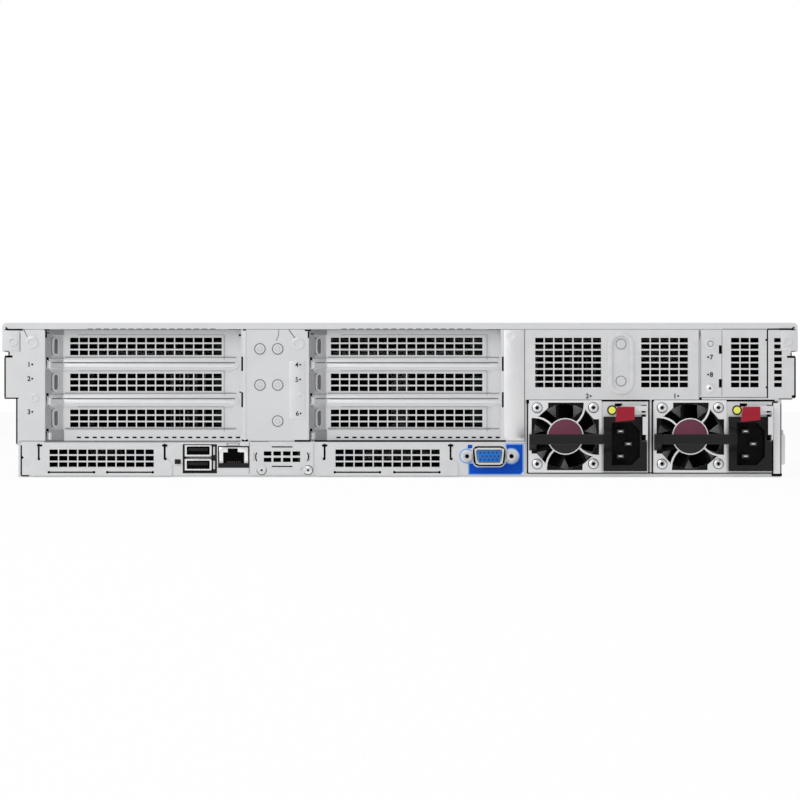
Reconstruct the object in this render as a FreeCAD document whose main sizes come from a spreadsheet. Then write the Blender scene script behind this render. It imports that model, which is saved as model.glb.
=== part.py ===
import FreeCAD, Part
import math
import os
from types import SimpleNamespace

import Sketcher

# A 2U rack server seen from its rear: X to the right, Y from the rear panel
# towards the drive bays at the front, Z up from the chassis floor.

os.makedirs("parts", exist_ok=True)
doc = FreeCAD.newDocument("RackServer")

# Driving sizes in millimetres, counts where the name says so, angles in degrees.
SIZES = {
    # Whole machine
    "body_depth": 715.0,
    "total_height": 87.0,
    "handle_reach": 20.0,
    "latch_reach": 6.0,
    "sheet": 1.2,
    "panel": 1.0,
    "seat_gap": 0.2,
    # Chassis section: narrow below for the rack rails, wide above
    "low_half": 215.0,
    "step_reach": 7.6,
    "joggle_reach": 2.2,
    "step_drop": 23.1,
    "joggle_drop": 19.6,
    "standoff_height": 2.0,
    "standoff_across_flats": 6.0,
    "standoff_inset": 21.0,
    "standoff_columns": 3,
    "standoff_rows": 3,
    "stud_height": 22.0,
    "stud_rear_gap": 40.0,
    "stud_front_gap": 92.0,
    "stud_count": 4,
    "stud_shank_radius": 2.2,
    "stud_shank": 2.3,
    "stud_head_radius": 4.5,
    "stud_head": 1.5,
    # Access cover and its latch
    "cover_overlap": 1.4,
    "cover_lip": 3.6,
    "cover_flange": 16.2,
    "cover_gap": 0.4,
    "latch_width": 34.0,
    "latch_length": 98.0,
    "latch_plate": 3.0,
    "latch_margin": 2.0,
    "latch_tray_depth": 6.0,
    "cover_bend": 2.4,
    "latch_from_front": 130.0,
    "latch_pin_radius": 1.5,
    "pin_clearance": 0.05,
    # Rear lower wall with the ports
    "io_top": 20.2,
    "panel_seam": 0.4,
    "flange_depth": 12.0,
    "wall_fit": 0.2,
    # Wide blanks of the lower wall
    "wide_blank_left_centre": -168.0,
    "wide_blank_right_centre": -7.0,
    "wide_blank_half": 39.6,
    "wide_blank_body_half": 34.9,
    "wide_blank_shoulder": 10.0,
    "wide_blank_top": 19.4,
    "wide_blank_bottom": 0.9,
    "wide_blank_slit": 1.1,
    "foot_slit_z": 2.9,
    "foot_slit_near": 4.0,
    "foot_slit_far": 29.5,
    "slit_height": 0.8,
    "wide_blank_corner": 2.5,
    "wide_hole_columns": 11,
    "wide_hole_rows": 3,
    "wide_hole_centre": 10.7,
    # Vent holes
    "vent_width": 4.3,
    "vent_height": 2.4,
    "vent_pitch_across": 5.4,
    "vent_pitch_up": 3.6,
    # Serial port blank
    "serial_left": -84.0,
    "serial_right": -48.9,
    "serial_top": 19.9,
    "serial_bottom": 1.4,
    "serial_hole_columns": 4,
    "serial_hole_rows": 2,
    "serial_hole_centre": 11.6,
    "serial_slit_half": 5.6,
    "serial_slit_spread": 5.5,
    "serial_notch_spread": 15.6,
    "serial_notch_half": 2.2,
    "serial_screw_inset": 6.0,
    "serial_screw_height": 4.6,
    # Ports
    "locator_x": -125.2,
    "locator_z": 8.8,
    "locator_width": 3.0,
    "locator_height": 2.3,
    "locator_length": 9.0,
    "usb_left": -122.0,
    "usb_right": -103.4,
    "usb_bottom": 2.4,
    "usb_top": 18.4,
    "usb_port_left": -121.2,
    "usb_port_width": 14.6,
    "usb_port_height": 6.6,
    "usb_low_centre": 7.1,
    "usb_high_centre": 14.9,
    "usb_depth": 16.0,
    "usb_shell": 0.5,
    "usb_tongue": 1.8,
    "network_left": -102.5,
    "network_right": -84.9,
    "network_bottom": 5.4,
    "network_top": 17.6,
    "network_mouth": 11.8,
    "network_mouth_bottom": 6.9,
    "network_mouth_top": 14.0,
    "network_key": 6.6,
    "network_key_top": 16.2,
    "network_depth": 18.0,
    "network_mouth_depth": 13.0,
    "video_x": 50.2,
    "video_z": 11.9,
    "video_shell_width": 16.9,
    "video_shell_height": 8.4,
    "video_shell_slant": 1.0,
    "video_shell_wall": 0.5,
    "video_reach": 5.6,
    "video_screw_pitch": 24.99,
    "video_plate_width": 31.0,
    "video_plate_height": 12.5,
    "jack_across_flats": 5.0,
    "jack_reach": 4.8,
    "jack_shank_radius": 2.0,
    "jack_bore_radius": 1.25,
    "jack_bore_depth": 6.0,
    # Riser cages and their slots
    "riser_bottom": 20.5,
    "riser_drop": 3.8,
    "recess_depth": 10.0,
    "recess_slope": 10.0,
    "riser_length": 190.0,
    "top_slot_drop": 9.4,
    "slot_margin": 1.74,
    "slot_count": 3,
    "slot_bar": 7.32,
    "blank_overlap": 1.8,
    "slot_hole_columns": 16,
    "slot_hole_rows": 3,
    "bead_height": 3.6,
    "bead_depth": 0.4,
    "flange_fit": 0.3,
    "step_lap": 0.7,
    "riser_one_recess_left": -200.0,
    "riser_one_recess_right": -88.5,
    "riser_flange": 0.7,
    "riser_two_recess_left": -51.4,
    "riser_two_recess_right": 57.7,
    "riser_three_offset": 98.2,
    "riser_three_width": 38.1,
    "riser_slit_inset": 11.0,
    "riser_slit_width": 2.0,
    "riser_slit_half": 2.4,
    "riser_slit_spread": 9.5,
    "riser_slit_drop": 2.2,
    "card_board": 1.6,
    "card_inset": 4.0,
    "card_length": 150.0,
    "card_start": 24.0,
    "card_slot_start": 30.0,
    "card_slot_length": 89.0,
    "card_slot_width": 8.0,
    "card_slot_reach": 11.0,
    # Rear upper panel over the power supplies
    "upper_gap": 0.3,
    "upper_margin": 5.4,
    "upper_row_rise": 1.2,
    "block_a_columns": 7,
    "block_a_offset": 24.3,
    "block_b_columns": 5,
    "block_b_offset": 78.6,
    "block_c_columns": 3,
    "block_c_offset": 25.6,
    "block_d_inset": 7.5,
    "press_offset": 54.1,
    "press_radius": 5.1,
    "press_margin": 9.4,
    "press_depth": 0.6,
    # Rivets and screws of the rear wall
    "rivet_radius": 2.8,
    "rivet_drop": 1.5,
    "rivet_far": 27.5,
    "rivet_near": 17.5,
    "rivet_shy": 0.2,
    "rivet_rise": 0.4,
    "screw_radius": 2.5,
    "screw_rise": 1.3,
    "hex_radius": 1.2,
    # Power supplies
    "psu_wall_gap": 4.8,
    "psu_pitch": 70.4,
    "psu_half": 33.8,
    "psu_bottom": 2.6,
    "psu_height": 40.0,
    "psu_length": 185.0,
    "psu_runner_width": 6.0,
    "psu_runner_gap": 0.1,
    "bay_length": 196.0,
    "bay_side_gap": 0.8,
    "bay_top_gap": 0.2,
    "bay_sheet": 0.8,
    "fan_offset": -12.9,
    "fan_height": 23.0,
    "psu_fan_bore": 18.8,
    "psu_fan_depth": 30.0,
    "guard_half": 20.4,
    "guard_plate": 0.8,
    "guard_rim": 1.4,
    "gusset_width": 9.7,
    "gusset_shoulder": 16.0,
    "gusset_near": 14.8,
    "gusset_far": 11.5,
    "gusset_end": 10.5,
    "guard_hub": 10.3,
    "spoke_width": 1.1,
    "spoke_bend": 13.5,
    "spoke_root_x": 10.9,
    "spoke_bend_height": 17.8,
    "inlet_left": 8.7,
    "inlet_right": 33.0,
    "inlet_upper_right": 30.0,
    "inlet_notch_z": 20.5,
    "inlet_top": 34.0,
    "inlet_reach": 4.0,
    "inlet_depth": 22.0,
    "cavity_centre": 21.0,
    "cavity_z": 18.8,
    "cavity_width": 15.8,
    "cavity_height": 24.0,
    "cavity_chamfer": 4.6,
    "cavity_depth": 17.0,
    "inlet_pin_pitch": 7.0,
    "inlet_pin_offset": 2.2,
    "inlet_pin_width": 4.0,
    "inlet_pin_thickness": 2.0,
    "inlet_pin_reach": 12.4,
    "handle_z": 21.5,
    "handle_height": 5.6,
    "handle_bar": 4.0,
    "handle_corner": 5.0,
    "handle_foot_rise": 3.6,
    "handle_edge": 1.0,
    "handle_foot_length": 8.0,
    "lever_plate": 0.8,
    "lever_pivot": 36.0,
    "lever_pocket": 40.0,
    "lever_slot_left": 30.1,
    "lever_slot_right": 33.0,
    "lever_bottom": 21.0,
    "lever_top": 40.2,
    "lever_slot_margin": 0.5,
    "lever_reach": 8.0,
    "lever_pin_radius": 0.8,
    "lever_pin_seat": 0.8,
    "lever_fold": 2.8,
    "lever_fold_top": 34.0,
    "tab_left": 14.7,
    "tab_right": 25.4,
    "tab_bottom": 31.3,
    "tab_top": 39.6,
    "tab_thickness": 5.0,
    "led_offset": 13.4,
    "led_height": 37.8,
    "led_radius": 2.2,
    "led_rise": 0.5,
    "led_depth": 3.0,
    "psu_hub_radius": 9.6,
    "psu_blade_tip": 18.2,
    "psu_rotor_length": 20.0,
    "psu_rotor_start": 4.0,
    # Cooling fans behind the drive cage
    "fan_count": 6,
    "fan_end_gap": 5.0,
    "fan_room": 27.0,
    "fan_thickness": 38.0,
    "fan_rim": 1.6,
    "fan_bottom": 10.0,
    "fan_to_front": 250.0,
    "fan_hub_radius": 14.0,
    "fan_strut": 3.0,
    "fan_motor_plate": 3.0,
    "blade_clearance": 0.6,
    "fan_rotor_length": 30.0,
    "fan_cage_gap": 3.0,
    "roof_clearance": 7.0,
    "fan_lap": 3.0,
    "blade_count": 7,
    "blade_thickness": 1.6,
    "blade_root": 2.0,
    "blade_margin": 0.08,
    "blade_lean": 0.22,
    # System board with its processors and memory
    "board_thickness": 1.8,
    "board_side_gap": 4.0,
    "board_rear_gap": 20.0,
    "board_front_gap": 4.0,
    "board_margin": 25.0,
    "processor_x": 105.0,
    "socket_margin": 2.0,
    "sink_width": 80.0,
    "sink_length": 94.0,
    "sink_base": 6.0,
    "sink_clearance": 5.0,
    "sink_lift": 6.0,
    "fin_count": 16,
    "fin_thickness": 1.0,
    "module_length": 133.35,
    "module_height": 31.25,
    "module_thickness": 3.4,
    "module_pitch": 8.4,
    "module_count": 6,
    "module_socket": 7.0,
    "baffle_length": 140.0,
    "baffle_front_gap": 2.0,
    "baffle_side_gap": 10.0,
    "baffle_wall": 2.0,
    "baffle_corner": 6.0,
    "baffle_rib": 2.5,
    "baffle_rib_pitch": 60.0,
    "baffle_rib_count": 6,
    # Drive cage, carriers and front
    "cage_depth": 158.0,
    "front_trim": 12.0,
    "cage_wall": 1.2,
    "box_side_gap": 11.0,
    "box_count": 3,
    "drive_pitch": 16.4,
    "drive_count": 4,
    "carrier_width": 15.2,
    "carrier_bottom": 4.0,
    "carrier_top_gap": 5.0,
    "carrier_rail": 3.0,
    "carrier_length": 140.0,
    "bezel_thickness": 9.0,
    "disk_width": 14.8,
    "disk_length": 100.45,
    "guide_gap": 0.2,
    "guide_width": 1.0,
    "drive_lever_width": 9.0,
    "drive_lever_margin": 20.0,
    "drive_lever_thickness": 4.0,
    "drive_lever_recess": 5.0,
    "drive_lever_pin": 1.2,
    "drive_lever_bottom": 10.0,
    "drive_lever_grip": 9.0,
    "drive_lever_hollow": 1.4,
    "narrow_grip_height": 12.0,
    "narrow_grip_depth": 3.0,
    "narrow_grip_lip": 2.0,
    "narrow_slot_margin": 2.0,
    "narrow_slot_height": 2.5,
    "narrow_slot_rise": 6.0,
    "narrow_slot_count": 7,
    "backplane_thickness": 1.6,
    "backplane_gap": 1.5,
    "blank_plate": 3.0,
    "blank_slot_width": 24.0,
    "blank_slot_height": 4.0,
    "blank_slot_pitch": 30.0,
    "blank_slot_rise": 9.0,
    "blank_slot_columns": 4,
    "blank_slot_rows": 7,
    # Rack ears with their latches and the power button
    "ear_reach": 17.3,
    "ear_root": 10.0,
    "ear_plate": 3.0,
    "ear_strap_length": 70.0,
    "ear_strap_height": 20.0,
    "rack_hole_inset": 8.75,
    "rack_hole_drop": 5.4,
    "rack_hole_radius": 3.5,
    "rack_hole_slot": 3.2,
    "ear_latch_width": 14.0,
    "ear_latch_margin": 15.5,
    "ear_latch_inset": 1.5,
    "ear_latch_lug": 5.0,
    "ear_latch_pin": 1.6,
    "button_x": 213.6,
    "button_z": 62.0,
    "button_radius": 4.6,
    "button_length": 7.0,
    "button_rise": 1.6,
}


class Size:
    """A length that knows its value in millimetres and its formula in the sheet."""

    def __init__(self, value, formula):
        self.value = value
        self.formula = formula

    def __add__(self, other):
        other = as_size(other)
        return Size(self.value + other.value, f"({self.formula} + {other.formula})")

    def __sub__(self, other):
        other = as_size(other)
        return Size(self.value - other.value, f"({self.formula} - {other.formula})")

    def __mul__(self, other):
        other = as_size(other)
        return Size(self.value * other.value, f"({self.formula} * {other.formula})")

    def __truediv__(self, other):
        other = as_size(other)
        return Size(self.value / other.value, f"({self.formula} / {other.formula})")

    def __radd__(self, other):
        return as_size(other) + self

    def __rsub__(self, other):
        return as_size(other) - self

    def __rmul__(self, other):
        return as_size(other) * self

    def __neg__(self):
        return Size(-self.value, f"(0 - {self.formula})")


def as_size(number):
    """Let plain numbers stand beside named sizes."""
    if isinstance(number, Size):
        return number
    return Size(float(number), f"{float(number):.6f}")


def make_sheet():
    """Write every driving size into the spreadsheet and return them by name."""
    sheet = doc.addObject("Spreadsheet::Sheet", "Sizes")
    named = {}
    for row, (alias, value) in enumerate(SIZES.items(), start=1):
        sheet.set(f"A{row}", alias)
        sheet.set(f"B{row}", str(value))
        sheet.setAlias(f"B{row}", alias)
        named[alias] = Size(float(value), f"Sizes.{alias}")
    doc.recompute()
    return SimpleNamespace(**named)


s = make_sheet()

# Widths that follow the lower half width of the chassis
s.high_half = s.low_half + s.step_reach
s.joggle_half = s.high_half - s.joggle_reach
s.cover_half = s.high_half + s.cover_overlap
s.ear_half = s.cover_half + s.ear_reach
s.ear_inner = s.low_half - s.ear_root
s.rack_hole_half = s.ear_half - s.rack_hole_inset
s.box_width = (s.low_half - s.box_side_gap) * 2 / s.box_count
s.board_half = s.low_half - s.board_side_gap
s.baffle_half = s.low_half - s.baffle_side_gap
s.fan_cage_half = s.low_half - s.fan_cage_gap
s.fan_pitch = (s.fan_cage_half - s.fan_end_gap) * 2 / s.fan_count

# Places across the rear wall that follow the chassis walls and the power bay
s.psu_right_x = s.low_half - s.psu_wall_gap - s.psu_half
s.psu_left_x = s.psu_right_x - s.psu_pitch
s.bay_left = s.psu_left_x - s.psu_half - s.bay_side_gap
s.upper_left = s.bay_left - s.panel
s.io_right = s.upper_left - s.panel_seam / 4
s.riser_one_left = -s.high_half + s.flange_fit
s.riser_one_lower_left = -s.low_half - s.step_lap
s.riser_one_right = s.riser_one_recess_right + s.riser_flange
s.riser_two_left = s.riser_one_right + s.panel_seam
s.riser_two_right = s.upper_left - s.panel_seam
s.riser_three_left = s.upper_left + s.riser_three_offset
s.riser_three_right = s.riser_three_left + s.riser_three_width
s.block_a_centre = s.upper_left + s.block_a_offset
s.block_b_centre = s.upper_left + s.block_b_offset
s.block_c_centre = s.riser_three_left + s.block_c_offset
s.block_d_centre = s.joggle_half - s.block_d_inset
s.press_centre = s.upper_left + s.press_offset

# Heights that follow the total height
s.joggle_height = s.total_height - s.joggle_drop
s.step_height = s.joggle_height - s.step_drop
s.riser_top = s.total_height - s.riser_drop
s.top_slot_z = s.riser_top - s.top_slot_drop
s.slot_pitch = (s.riser_top - s.riser_bottom - s.slot_margin) / s.slot_count
s.window_height = s.slot_pitch - s.slot_bar
s.bay_roof = s.psu_bottom + s.psu_height + s.bay_top_gap
s.upper_bottom = s.bay_roof + s.bay_sheet
s.upper_row_centre = (s.riser_top + s.upper_bottom) / 2 + s.upper_row_rise
s.press_half_length = (s.riser_top - s.upper_bottom) / 2 - s.press_margin
s.fan_cage_height = s.total_height - s.roof_clearance
s.fan_side = s.total_height - s.fan_room
s.fan_bore = s.fan_side / 2 - s.fan_rim
s.fan_blade_tip = s.fan_bore - s.blade_clearance
s.fan_window = s.fan_side - s.fan_lap
s.baffle_top = s.total_height - s.roof_clearance
s.carrier_height = s.total_height - s.carrier_bottom - s.carrier_top_gap
s.drive_lever_length = s.carrier_height - s.drive_lever_margin
s.ear_latch_height = s.total_height - s.ear_latch_margin * 2
s.rack_hole_rise = s.total_height / 2 - s.rack_hole_drop

# Planes that many pieces share
rear = s.handle_reach - (s.body_depth + s.handle_reach + s.latch_reach) / 2
front = rear + s.body_depth
base_rear = rear + s.panel
base_front = front - s.front_trim
cover_under = s.total_height - s.sheet
wall_top = cover_under - s.seat_gap
cage_rear = base_front - s.cage_depth
cover_front = cage_rear - s.cover_gap
slope_shift = s.panel * math.tan(math.radians(22.5))
board_top = s.sheet + s.standoff_height + s.board_thickness
s.sink_height = s.baffle_top - s.baffle_wall - board_top - s.sink_lift - s.sink_clearance

# Depths inside: the fans hang on the front, the processors and their duct on the fans
fan_rear = front - s.fan_to_front
fan_centre_z = s.fan_bottom + s.fan_side / 2
baffle_front = fan_rear - s.panel - s.baffle_front_gap
processor_y = baffle_front - s.baffle_length / 2
board_rear = rear + s.board_rear_gap
board_front = fan_rear - s.panel - s.board_front_gap
s.stud_pitch = ((base_front - s.stud_front_gap) - (base_rear + s.stud_rear_gap)) / (
    s.stud_count - 1)
s.standoff_pitch = (board_front - board_rear - s.board_margin * 2) / (s.standoff_rows - 1)
s.standoff_spread = (s.bay_left - s.standoff_inset * 2 + s.board_half) / (
    s.standoff_columns - 1)


def bind(thing, name, length):
    """Tie one property of an object to its formula in the sheet."""
    thing.setExpression(name, as_size(length).formula)


def bind_place(thing, x=0, y=0, z=0):
    """Tie the position of an object to the sheet."""
    bind(thing, "Placement.Base.x", x)
    bind(thing, "Placement.Base.y", y)
    bind(thing, "Placement.Base.z", z)


def new_body(name):
    """Start a body that is named after its node."""
    body = doc.addObject("PartDesign::Body", name)
    body.Label = name
    return body


def origin_plane(body, role):
    """Find one of a body's own origin planes."""
    for feature in body.Origin.OriginFeatures:
        if feature.Role == role:
            return feature
    raise ValueError(role)


def sketch_on(body, name, role, offset):
    """Put an empty sketch on an origin plane, moved along the plane's normal."""
    sketch = body.newObject("Sketcher::SketchObject", name)
    sketch.AttachmentSupport = (origin_plane(body, role), [""])
    sketch.MapMode = "FlatFace"
    bind(sketch, "AttachmentOffset.Base.z", offset)
    return sketch


def across(body, name, y):
    """A sketch in X and Z at the given Y, seen from the rear."""
    return sketch_on(body, name, "XZ_Plane", -as_size(y))


def level(body, name, z):
    """A sketch in X and Y at the given height."""
    return sketch_on(body, name, "XY_Plane", z)


def sideways(body, name, x):
    """A sketch in Y and Z at the given X."""
    return sketch_on(body, name, "YZ_Plane", x)


def tie_point(sketch, shape, point, x, y):
    """Hold one point of a shape at x, y from the sketch's origin."""
    for kind, distance in (("DistanceX", x), ("DistanceY", y)):
        distance = as_size(distance)
        number = sketch.addConstraint(
            Sketcher.Constraint(kind, -1, 1, shape, point, distance.value))
        sketch.setExpression(f"Constraints[{number}]", distance.formula)


def hexagon(sketch, x, y, across_flats):
    """A hexagon with two flats upright."""
    corners = []
    for corner in range(6):
        angle = math.radians(60 * corner + 30)
        reach = across_flats / (2 * math.cos(math.radians(30)))
        corners.append((x + reach * math.cos(angle), y + reach * math.sin(angle)))
    outline(sketch, corners)


def tie_radius(sketch, shape, radius):
    """Hold the radius of a circle or an arc."""
    radius = as_size(radius)
    number = sketch.addConstraint(Sketcher.Constraint("Radius", shape, radius.value))
    sketch.setExpression(f"Constraints[{number}]", radius.formula)


def outline(sketch, corners):
    """Close straight lines through the corners, each corner tied to the sheet."""
    points = []
    for x, y in corners:
        points.append(FreeCAD.Vector(as_size(x).value, as_size(y).value, 0))
    first = len(sketch.Geometry)
    count = len(points)
    for index in range(count):
        line = Part.LineSegment(points[index], points[(index + 1) % count])
        sketch.addGeometry(line)
    for index in range(count):
        following = first + (index + 1) % count
        sketch.addConstraint(
            Sketcher.Constraint("Coincident", first + index, 2, following, 1))
    for index, (x, y) in enumerate(corners):
        tie_point(sketch, first + index, 1, x, y)


def rectangle(sketch, x_low, x_high, y_low, y_high):
    """A rectangle between four tied edges."""
    outline(sketch, [(x_low, y_low), (x_high, y_low), (x_high, y_high), (x_low, y_high)])


def circle(sketch, x, y, radius):
    """A circle with its centre and radius tied."""
    centre = FreeCAD.Vector(as_size(x).value, as_size(y).value, 0)
    normal = FreeCAD.Vector(0, 0, 1)
    number = sketch.addGeometry(Part.Circle(centre, normal, as_size(radius).value))
    tie_point(sketch, number, 3, x, y)
    tie_radius(sketch, number, radius)


def stadium(sketch, start, end, radius):
    """A slot with round ends whose two centres are tied; it lies along X or along Y."""
    first_centre = FreeCAD.Vector(as_size(start[0]).value, as_size(start[1]).value, 0)
    last_centre = FreeCAD.Vector(as_size(end[0]).value, as_size(end[1]).value, 0)
    heading = math.atan2(last_centre.y - first_centre.y, last_centre.x - first_centre.x)
    normal = FreeCAD.Vector(0, 0, 1)
    value = as_size(radius).value
    quarter = math.pi / 2
    side = FreeCAD.Vector(-math.sin(heading), math.cos(heading), 0) * value
    tail = sketch.addGeometry(Part.ArcOfCircle(
        Part.Circle(first_centre, normal, value), heading + quarter, heading + 3 * quarter))
    nose = sketch.addGeometry(Part.ArcOfCircle(
        Part.Circle(last_centre, normal, value), heading - quarter, heading + quarter))
    left = sketch.addGeometry(Part.LineSegment(first_centre + side, last_centre + side))
    right = sketch.addGeometry(Part.LineSegment(first_centre - side, last_centre - side))
    sketch.addConstraint([
        Sketcher.Constraint("Tangent", tail, 1, left, 1),
        Sketcher.Constraint("Tangent", nose, 2, left, 2),
        Sketcher.Constraint("Tangent", tail, 2, right, 1),
        Sketcher.Constraint("Tangent", nose, 1, right, 2),
    ])
    tie_point(sketch, tail, 3, start[0], start[1])
    tie_point(sketch, nose, 3, end[0], end[1])
    tie_radius(sketch, tail, radius)


def pad(body, sketch, length, away=False):
    """Raise a sketch along its normal, or away from it."""
    feature = body.newObject("PartDesign::Pad", sketch.Name + "_pad")
    feature.Profile = sketch
    feature.Reversed = away
    bind(feature, "Length", length)
    return feature


def pocket(body, sketch, length, away=False):
    """Cut a sketch against its normal, or along it when away is set."""
    feature = body.newObject("PartDesign::Pocket", sketch.Name + "_pocket")
    feature.Profile = sketch
    feature.Reversed = away
    bind(feature, "Length", length)
    return feature


def row_of(body, feature, axis, pitch, count):
    """Repeat a feature in a straight row along one of its sketch's axes."""
    pattern = body.newObject("PartDesign::LinearPattern", feature.Name + "_row")
    pattern.Originals = [feature]
    pattern.Direction = (feature.Profile[0], [axis])
    bind(pattern, "Length", pitch * (count - 1))
    bind(pattern, "Occurrences", count)
    body.Tip = pattern
    return pattern


def rounded(body, name, feature, radius, chosen):
    """Round the edges of a feature whose ends and middle all pass a test of place."""
    doc.recompute()
    edges = []
    for number, edge in enumerate(feature.Shape.Edges, start=1):
        places = [vertex.Point for vertex in edge.Vertexes] + [edge.CenterOfMass]
        if all(chosen(place) for place in places):
            edges.append(f"Edge{number}")
    fillet = body.newObject("PartDesign::Fillet", name)
    fillet.Base = (feature, edges)
    bind(fillet, "Radius", radius)
    return fillet


def vent_block(body, name, y, x_centre, z_centre, columns, rows):
    """Punch a block of oblong vent holes: one column drawn, repeated along X."""
    sketch = across(body, name, y)
    x_first = x_centre - s.vent_pitch_across * (columns - 1) / 2
    row_total = int(as_size(rows).value)
    for row in range(row_total):
        z = z_centre + s.vent_pitch_up * (row - (row_total - 1) / 2)
        rectangle(sketch, x_first - s.vent_width / 2, x_first + s.vent_width / 2,
                  z - s.vent_height / 2, z + s.vent_height / 2)
    holes = pocket(body, sketch, s.panel * 2)
    if as_size(columns).value > 1:
        row_of(body, holes, "H_Axis", s.vent_pitch_across, columns)
    return holes


def block(name, x, y, z):
    """A box between three pairs of tied faces."""
    solid = doc.addObject("Part::Box", name)
    bind(solid, "Length", as_size(x[1]) - x[0])
    bind(solid, "Width", as_size(y[1]) - y[0])
    bind(solid, "Height", as_size(z[1]) - z[0])
    bind_place(solid, x[0], y[0], z[0])
    return solid


def rod(name, start, axis, radius, length):
    """A cylinder that starts at a point and runs along X, Y or Z."""
    solid = doc.addObject("Part::Cylinder", name)
    turns = {
        "X": FreeCAD.Rotation(FreeCAD.Vector(0, 1, 0), 90),
        "Y": FreeCAD.Rotation(FreeCAD.Vector(1, 0, 0), -90),
        "Z": FreeCAD.Rotation(),
    }
    solid.Placement = FreeCAD.Placement(FreeCAD.Vector(), turns[axis])
    bind(solid, "Radius", radius)
    bind(solid, "Height", length)
    bind_place(solid, *start)
    return solid


def joined(name, pieces):
    """One solid from pieces that meet."""
    whole = doc.addObject("Part::MultiFuse", name)
    whole.Shapes = pieces
    whole.Refine = True
    return whole


def cut(name, base, tool):
    """One piece with another taken out of it."""
    result = doc.addObject("Part::Cut", name)
    result.Base = base
    result.Tool = tool
    return result


def group(name, pieces):
    """Separate like solids kept under one name."""
    whole = doc.addObject("Part::Compound", name)
    whole.Links = pieces
    return whole


nodes = []


def keep(thing):
    """List a finished sub-part for export under its own label."""
    thing.Label = thing.Name
    nodes.append(thing)
    return thing


def chassis_base():
    """Stepped sheet-metal tray: floor and both side walls, with studs and standoffs."""
    body = new_body("chassis_base")
    section = across(body, "base_section", base_rear)
    w = s.sheet
    outer = [(s.low_half, 0), (s.low_half, s.step_height), (s.high_half, s.step_height),
             (s.high_half, s.joggle_height), (s.joggle_half, s.joggle_height),
             (s.joggle_half, wall_top)]
    inner = [(s.joggle_half - w, wall_top), (s.joggle_half - w, s.joggle_height - w),
             (s.high_half - w, s.joggle_height - w), (s.high_half - w, s.step_height + w),
             (s.low_half - w, s.step_height + w), (s.low_half - w, w)]
    right_side = outer + inner
    left_side = [(-x, z) for x, z in reversed(right_side)]
    outline(section, right_side + left_side)
    pad(body, section, base_front - base_rear, away=True)

    first_stud = base_rear + s.stud_rear_gap
    for side, turn in (("right", 1), ("left", -1)):
        shank_plane = s.low_half * turn
        head_plane = (s.low_half + s.stud_shank) * turn
        shank = sideways(body, f"stud_shank_{side}", shank_plane)
        circle(shank, first_stud, s.stud_height, s.stud_shank_radius)
        row_of(body, pad(body, shank, s.stud_shank, away=turn < 0), "H_Axis",
               s.stud_pitch, s.stud_count)
        head = sideways(body, f"stud_head_{side}", head_plane)
        circle(head, first_stud, s.stud_height, s.stud_head_radius)
        row_of(body, pad(body, head, s.stud_head, away=turn < 0), "H_Axis",
               s.stud_pitch, s.stud_count)

    standoffs = level(body, "standoffs", s.sheet)
    for column in range(int(s.standoff_columns.value)):
        x = s.standoff_inset - s.board_half + s.standoff_spread * column
        hexagon(standoffs, x, board_rear + s.board_margin, s.standoff_across_flats)
    row_of(body, pad(body, standoffs, s.standoff_height), "V_Axis",
           s.standoff_pitch, s.standoff_rows)
    return keep(body)


def io_wall():
    """Lower rear wall: a flanged panel with a window for every port and blank."""
    body = new_body("rear_io_wall")
    left = s.wall_fit - s.low_half + s.sheet
    plate = across(body, "io_plate", rear)
    rectangle(plate, left, s.io_right, s.sheet, s.io_top)
    pad(body, plate, s.panel, away=True)
    for name, low in (("io_foot", s.sheet), ("io_ledge", s.io_top - s.panel)):
        flange = level(body, name, low)
        rectangle(flange, left, s.io_right - 1, rear, rear + s.flange_depth)
        pad(body, flange, s.panel)
    windows = across(body, "io_windows", rear)
    for centre in (s.wide_blank_left_centre, s.wide_blank_right_centre):
        reach = s.wide_blank_body_half + s.wide_blank_slit
        rectangle(windows, centre - reach, centre + reach,
                  s.wide_blank_shoulder - 4, s.io_top - s.panel - 0.4)
    rectangle(windows, s.locator_x - s.locator_width / 2 - s.wall_fit,
              s.locator_x + s.locator_width / 2 + s.wall_fit,
              s.locator_z - s.locator_height / 2 - s.wall_fit,
              s.locator_z + s.locator_height / 2 + s.wall_fit)
    rectangle(windows, s.usb_left, s.usb_right, s.usb_bottom, s.usb_top)
    rectangle(windows, s.network_left, s.network_right, s.network_bottom, s.network_top)
    rectangle(windows, s.serial_left + 4, s.serial_right - 4,
              s.serial_hole_centre - 5, s.serial_hole_centre + 5)
    pocket(body, windows, s.panel)
    video = across(body, "video_window", rear)
    margin = s.video_shell_wall
    half_top = s.video_shell_width / 2 + margin
    half_low = half_top - s.video_shell_slant
    half_high = s.video_shell_height / 2 + margin
    outline(video, [
        (s.video_x - half_low, s.video_z - half_high),
        (s.video_x + half_low, s.video_z - half_high),
        (s.video_x + half_top, s.video_z + half_high),
        (s.video_x - half_top, s.video_z + half_high)])
    for side in (-1, 1):
        circle(video, s.video_x + s.video_screw_pitch / 2 * side, s.video_z,
               s.jack_shank_radius + 0.1)
    pocket(body, video, s.panel)
    return keep(body)


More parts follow.
